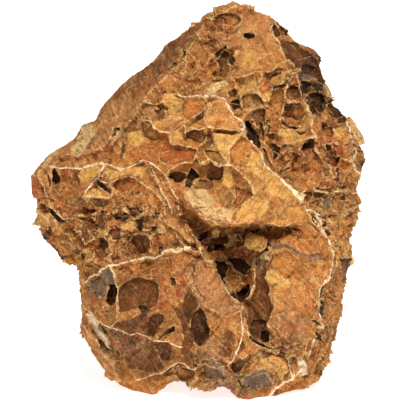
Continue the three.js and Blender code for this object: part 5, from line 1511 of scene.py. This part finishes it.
    def thin(self, stone: bpy.types.Object) -> None:
        """Brings the mesh under the most triangles that a piece may have, and smooths its shading.

        Args:
            stone: the stone.
        """
        make_active(stone)
        triangles = stone.modifiers.new("triangles", "TRIANGULATE")
        bpy.ops.object.modifier_apply(modifier=triangles.name)
        count = len(stone.data.polygons)
        LOG.info("dense mesh: %d triangles", count)
        if count > self.most_triangles:
            coarse = stone.vertex_groups.new(name="coarse")
            for step in range(self.care_steps + 1):
                share = step / self.care_steps
                chosen = np.flatnonzero(np.abs(1.0 - self.front - share) <= 0.5 / self.care_steps)
                coarse.add(chosen.tolist(), max(share, self.least_care), "REPLACE")
            fewer = stone.modifiers.new("fewer", "DECIMATE")
            fewer.vertex_group, fewer.vertex_group_factor = coarse.name, self.front_care
            fewer.ratio = self.most_triangles / count
            bpy.ops.object.modifier_apply(modifier=fewer.name)
        bpy.ops.object.shade_smooth_by_angle(angle=math.radians(self.crisp_angle))


@dataclass
class RockFinish:
    """The stone's finish: matt iron-stained rock, pale along its thin walls, with painted shade in its
    hollows and creases and painted highlights on its small convex edges.

    Its methods add to one tree by turns, and change the colour so far.
    """

    name: str = "leafy_rock"
    roughness: float = 0.88
    gloss: float = 0.12
    plate_tones: tuple[tuple[float, Tone], ...] = (
        (0.1, UMBER),
        (0.32, RUST),
        (0.5, TAN),
        (0.68, MAUVE),
        (0.85, BRICK),
    )
    patch_tones: tuple[tuple[str, Tone], ...] = (("scoop", UMBER), ("cell", BRICK))
    spreads: tuple[tuple[str, float, float], ...] = (
        ("scoop", 0.85, 1.12),
        ("cell", 0.82, 1.14),
        ("grit", 0.88, 1.08),
    )
    shades: tuple[tuple[str, float], ...] = (("plate", 0.6), ("scoop", 0.5), ("cell", 0.55), ("grit", 0.45))
    walls: tuple[tuple[str, float], ...] = (("plate", 0.9), ("scoop", 0.8), ("cell", 0.7), ("grit", 0.45))
    streak_tones: tuple[tuple[float, float, Tone, float], ...] = (
        (0.47, 0.36, UMBER, 0.7),
        (0.55, 0.68, CREAM, 0.35),
    )
    threads: tuple[tuple[float, float, float, Tone, float], ...] = (
        (7.0, 3.0, 0.32, BARK, 0.8),
        (3.6, 2.0, 0.26, UMBER, 0.75),
        (4.0, 2.2, 0.28, CREAM, 0.5),
    )
    graph: Graph = field(init=False)
    form: bpy.types.NodeSocket = field(init=False)
    colour: bpy.types.NodeSocket = field(init=False)
    levels: dict[str, dict[str, bpy.types.NodeSocket]] = field(init=False)
    strength: dict[str, bpy.types.NodeSocket] = field(init=False)

    def build(self) -> bpy.types.Material:
        """Makes the material.

        Returns:
            The material.
        """
        material = bpy.data.materials.new(self.name)
        material.use_nodes = True
        self.graph = graph = Graph(material.node_tree)
        self.form = self.read("form").outputs["Vector"]
        self.colour = self.read("tone").outputs["Vector"]
        self.levels = {name: graph.cells(self.form, level) for name, level in LEVELS.items()}
        self.strength = {name: self.number(name) for name in self.levels}
        self.weather()
        self.shade()
        self.vein()
        self.streak()
        self.speckle()
        shader = graph.node("ShaderNodeBsdfPrincipled")
        shader.inputs["Roughness"].default_value = self.roughness
        shader.inputs["Specular IOR Level"].default_value = self.gloss
        graph.feed(shader.inputs["Base Color"], self.colour)
        graph.feed(shader.inputs["Normal"], self.grained())
        leave = graph.node("ShaderNodeOutputMaterial")
        graph.feed(leave.inputs["Surface"], shader.outputs[0])
        return material

    def read(self, name: str) -> bpy.types.Node:
        """Reads what the mesh keeps under a name, as a number and as a vector."""
        return self.graph.node("ShaderNodeAttribute", attribute_type="GEOMETRY", attribute_name=name)

    def number(self, name: str) -> bpy.types.NodeSocket:
        """One number that the mesh keeps under a name."""
        return self.read(name).outputs["Fac"]

    def coat(self, tone: Tone, *shares: object) -> None:
        """Lays a tone over the colour so far, as strongly as its shares multiplied."""
        self.colour = self.graph.mixed(self.graph.times(*shares), self.colour, (*tone.linear(), 1.0))

    def clouds(self, size: float, detail: float = 2.0, rough: float = 0.5) -> bpy.types.NodeSocket:
        """Soft random clouds on the stone, about 0.5."""
        return self.graph.noise(self.form, size, detail, rough)[0]

    def lightness(self) -> bpy.types.NodeSocket:
        """How pale the stone's own tone is: little on dark faces, 1 on ochre ones."""
        own = self.graph.parts(self.read("tone").outputs["Vector"])["X"]
        return self.graph.ramp(own, 0.03, 0.3, 0.2, 1.0)

    def weather(self) -> None:
        """Varies the colour in clouds and from cell to cell."""
        graph, levels = self.graph, self.levels
        plate = self.number("plate")
        for middle, tone in self.plate_tones:
            own = graph.sum("ABSOLUTE", graph.sum("SUBTRACT", levels["plate"]["own"], middle))
            self.coat(tone, graph.ramp(own, 0.12, 0.06), graph.times(plate, 0.75))
        open_part = graph.ramp(self.number("flat"), 0.0, 1.0, 1.0, 0.35)
        free = graph.times(open_part, self.lightness())
        self.coat(RUST, graph.ramp(self.clouds(13.0, 3.0, 0.6), 0.52, 0.72), free, 0.5)
        aside = graph.arrow("ADD", self.form, (70.0, 0.0, 0.0))
        self.coat(GOLD, graph.ramp(graph.noise(aside, 9.0, 3.0, 0.6)[0], 0.55, 0.75), free, 0.5)
        for name, tone in self.patch_tones:
            self.coat(tone, graph.ramp(levels[name]["own"], 0.55, 1.0), open_part, 0.5)
        for name, low, high in self.spreads:
            own = graph.ramp(levels[name]["own"], 0.0, 1.0, low, high)
            self.colour = graph.arrow("MULTIPLY", self.colour, graph.threefold(own))

    def shade(self) -> None:
        """Paints shade: BARK under the neighbours' lips and in the hollows, UMBER in small concave creases.
        """
        graph = self.graph
        # Painted shade under the neighbouring lips and in the open cells' bowls.
        for name, most in self.shades:
            self.coat(BARK, self.levels[name]["shade"], self.strength[name], most)
        # Painted shade in the hollows, weaker on faces that stand forward.
        hollow = graph.ramp(self.number("hollow"), 0.7, 4.4)
        self.coat(BARK, hollow, graph.ramp(self.number("steep"), -1.5, 0.0, 0.1, 0.65))
        # Painted shade in small concave creases.
        self.coat(UMBER, graph.ramp(self.number("nick"), 0.05, 0.5), 0.5)

    def vein(self) -> None:
        """Pales the thin walls and crests, paints highlights on small convex edges and draws the sunk faces'
        rims.
        """
        graph, light = self.graph, self.lightness()
        patchy = graph.times(graph.ramp(self.clouds(6.0, 3.0, 0.6), 0.35, 0.62), light)
        patchy = graph.times(patchy, graph.ramp(self.number("flat"), 0.0, 1.0, 1.0, 0.3))
        # The walls' cream is held back in the hollows, as painted shade.
        proud = graph.ramp(self.number("hollow"), 1.6, -0.6)
        for name, most in self.walls:
            strong = graph.ramp(self.strength[name], 0.2, 0.9, 0.15, 1.0)
            wall = graph.times(self.levels[name]["wall"], strong)
            self.coat(CREAM, wall, most, graph.times(patchy, proud))
        # Painted highlight: cream on small convex edges.
        self.coat(CREAM, graph.ramp(self.number("nick"), -0.12, -0.5), light, 0.4)
        self.rim(light)
        side = graph.sum("ABSOLUTE", self.number("vein_side"))
        near = graph.ramp(self.number("vein_far"), 0.9, 1.6, 1.0, 0.0)
        pale = self.number("vein_pale")
        whole = graph.ramp(pale, 0.75, 1.0, 0.3, 0.75)
        broken = graph.ramp(self.clouds(2.8), 0.34, 0.52, whole, 1.0)
        uneven = graph.ramp(self.clouds(4.0), 0.3, 0.7, 0.45, 1.1)
        width = graph.times(self.number("vein_broad"), uneven)
        line = graph.sum("SUBTRACT", 1.0, graph.sum("DIVIDE", side, width))
        line = graph.times(graph.ramp(line, 0.0, 0.6), near)
        share = graph.times(line, broken, pale)
        self.coat(CREAM, share)
        self.coat(CHALK, share, graph.ramp(pale, 0.55, 0.95))

    def rim(self, light: bpy.types.NodeSocket) -> None:
        """Paints shade as a dark line inside the edge of each sunk face, and a pale line along the edge that
        is partly the lip's pale stone and partly a painted highlight.

        Args:
            light: how pale the stone is there.
        """
        graph, edge = self.graph, self.number("edge")
        sunk = graph.ramp(self.number("steep"), 0.4, 2.4)
        patchy = graph.ramp(self.clouds(3.4), 0.44, 0.58, 0.05, 1.0)
        # Painted shade just inside the edge of each sunk face.
        inner_shade = graph.times(graph.ramp(edge, 0.05, 0.3), graph.ramp(edge, 0.4, 1.4, 1.0, 0.0))
        self.coat(BARK, inner_shade, sunk, 0.45)
        # The pale line along the edge: the lip's pale stone, partly a painted highlight.
        line = graph.ramp(graph.sum("ABSOLUTE", graph.sum("ADD", edge, 0.12)), 0.08, 0.3, 1.0, 0.0)
        share = graph.times(light, graph.ramp(sunk, 0.0, 1.0, 0.35, 0.8))
        self.coat(CREAM, line, patchy, share)

    def streak(self) -> None:
        """Draws long dark and pale streaks where the stone has them."""
        for name, turn in STREAKS.items():
            strength, clouds = self.number(name), self.graph.streaks(self.form, turn)
            for low, high, tone, most in self.streak_tones:
                self.coat(tone, self.graph.ramp(clouds, low, high), strength, most)

    def speckle(self) -> None:
        """Adds fine dark specks, thin broken lines and a little uneven grain."""
        graph = self.graph
        self.coat(BRICK, graph.ramp(self.clouds(3.2, 5.0, 0.68), 0.5, 0.66), 0.3)
        aside = graph.arrow("ADD", self.form, (0.0, 50.0, 0.0))
        bleach = graph.ramp(graph.noise(aside, 2.4, 5.0, 0.68)[0], 0.55, 0.7)
        self.coat(CREAM, bleach, self.lightness(), 0.2)
        self.coat(UMBER, graph.ramp(self.clouds(1.1, 2.0, 0.7), 0.6, 0.7), 0.55)
        rough = graph.ramp(self.number("grit"), 0.3, 0.8, 0.75, 1.15)
        for size, wander, width, tone, most in self.threads:
            line = graph.times(self.thread(size, wander, width), rough)
            if tone is CREAM:
                line = graph.times(line, self.lightness())
            self.coat(tone, line, most)
        grain = graph.ramp(self.clouds(0.55, 2.0, 0.7), 0.3, 0.7, 0.72, 1.24)
        self.colour = graph.arrow("MULTIPLY", self.colour, graph.threefold(grain))

    def thread(self, size: float, wander: float, width: float) -> bpy.types.NodeSocket:
        """Thin broken lines between irregular patches, such as cracks or fine veins.

        Args:
            size: how wide a patch is.
            wander: how far a line strays from straight.
            width: how wide a line is.

        Returns:
            1 on a line and 0 off it.
        """
        graph, form = self.graph, self.form
        drift = graph.arrow("SUBTRACT", graph.noise(form, size * 0.5, 3.0, 0.65)[1], (0.5, 0.5, 0.5))
        moved = graph.arrow("ADD", form, graph.arrow("MULTIPLY", drift, (2.0 * wander,) * 3))
        scaled = graph.arrow("MULTIPLY", moved, (1.0 / size,) * 3)
        gap = graph.voronoi(scaled, "DISTANCE_TO_EDGE").outputs["Distance"]
        broken = graph.ramp(self.clouds(size), 0.46, 0.58)
        return graph.times(graph.ramp(gap, 0.0, width / size, 1.0, 0.0), broken)

    def grained(self) -> bpy.types.NodeSocket:
        """Works out the fine grain of the surface.

        Returns:
            The normal.
        """
        graph = self.graph
        height = graph.sum("ADD", self.clouds(0.9, 4.0, 0.65), graph.times(self.clouds(3.0), 1.5))
        bump = graph.node("ShaderNodeBump")
        bump.inputs["Strength"].default_value = 0.7
        bump.inputs["Distance"].default_value = 0.35 * MM
        graph.feed(bump.inputs["Height"], height)
        return bump.outputs[0]


@dataclass(frozen=True)
class Lamp:
    """A soft lamp: where it stands round the stone, how far, how wide and how strong."""

    name: str
    azimuth: float
    elevation: float
    distance: float
    width: float
    watts: float
    colour: Colour = (1.0, 1.0, 1.0)


@dataclass
class Studio:
    """A pale floor, a pale backdrop, soft lamps and the camera."""

    plane: PicturePlane
    lens: float = 800.0
    sensor: float = 36.0
    floor_half: float = 6.0
    floor_shade: float = 0.9
    floor_glow: float = 0.75
    sky: float = 0.28
    lamps: tuple[Lamp, ...] = (
        Lamp("key", 20.0, 56.0, 3.0, 1.5, 98.0, (1.0, 0.985, 0.96)),
        Lamp("fill", -35.0, 20.0, 2.4, 1.6, 8.0),
    )

    def build(self) -> None:
        """Sets up the whole studio."""
        self.floor()
        self.backdrop()
        for lamp in self.lamps:
            self.light(lamp)
        self.camera()

    def floor(self) -> None:
        """A wide pale floor under the stone."""
        deselect_all()
        bpy.ops.mesh.primitive_plane_add(size=2.0 * self.floor_half, location=(0.0, 0.0, 0.0))
        floor = bpy.context.object
        floor.name = "floor"
        material = bpy.data.materials.new("pale_floor")
        material.use_nodes = True
        shader = material.node_tree.nodes["Principled BSDF"]
        shader.inputs["Base Color"].default_value = (self.floor_shade,) * 3 + (1.0,)
        shader.inputs["Roughness"].default_value = 0.9
        shader.inputs["Emission Color"].default_value = (1.0, 1.0, 1.0, 1.0)
        shader.inputs["Emission Strength"].default_value = self.floor_glow
        floor.data.materials.append(material)

    def backdrop(self) -> None:
        """Even pale light from all round, white where the camera sees it."""
        world = bpy.data.worlds.new("studio")
        bpy.context.scene.world = world
        world.use_nodes = True
        graph = Graph(world.node_tree)
        seen = graph.node("ShaderNodeLightPath").outputs["Is Camera Ray"]
        shine = graph.node("ShaderNodeBackground")
        shine.inputs["Color"].default_value = (1.0, 1.0, 1.0, 1.0)
        graph.feed(shine.inputs["Strength"], graph.ramp(seen, 0.0, 1.0, self.sky, 1.0))
        leave = graph.node("ShaderNodeOutputWorld")
        graph.feed(leave.inputs["Surface"], shine.outputs[0])

    def light(self, lamp: Lamp) -> None:
        """Hangs one square lamp, turned to the middle of the stone.

        Args:
            lamp: the lamp.
        """
        low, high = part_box(NODE)
        middle = (low + high) / 2.0
        turn, rise = math.radians(lamp.azimuth), math.radians(lamp.elevation)
        away = Vector((math.sin(turn) * math.cos(rise), -math.cos(turn) * math.cos(rise), math.sin(rise)))
        source = bpy.data.lights.new(lamp.name, "AREA")
        source.shape, source.size = "SQUARE", lamp.width
        source.energy, source.color = lamp.watts, lamp.colour
        hung = bpy.data.objects.new(lamp.name, source)
        hung.location = middle + away * lamp.distance
        hung.rotation_euler = (-away).to_track_quat("-Z", "Y").to_euler()
        bpy.context.scene.collection.objects.link(hung)

    def camera(self) -> None:
        """A long lens, so that the stone shows as the photo has it."""
        lens = bpy.data.cameras.new("camera")
        lens.lens, lens.sensor_width = self.lens, self.sensor
        lens.clip_start, lens.clip_end = 0.1, 100.0
        width = self.plane.photo_pixels * self.plane.pixel * MM
        eye = self.plane.towards_eye()
        camera = bpy.data.objects.new("camera", lens)
        camera.location = self.plane.middle() + eye * (width * self.lens / self.sensor)
        camera.rotation_euler = (-eye).to_track_quat("-Z", "Y").to_euler()
        bpy.context.scene.collection.objects.link(camera)
        bpy.context.scene.camera = camera
        bpy.context.scene.view_settings.view_transform = "Standard"


def main() -> None:
    """Builds the studio and the stone, and logs how many triangles the stone has."""
    logging.basicConfig(level=logging.INFO, format="%(name)s: %(message)s")
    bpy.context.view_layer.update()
    plane = PicturePlane()
    Studio(plane).build()
    LOG.info("studio ready")
    stone = LeafyStone(plane).build()
    stone.data.materials.append(RockFinish().build())
    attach(stone, BODY)
    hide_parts(NODE)
    LOG.info("%s: %d triangles", stone.name, len(stone.data.polygons))


if __name__ == "__main__":
    main()
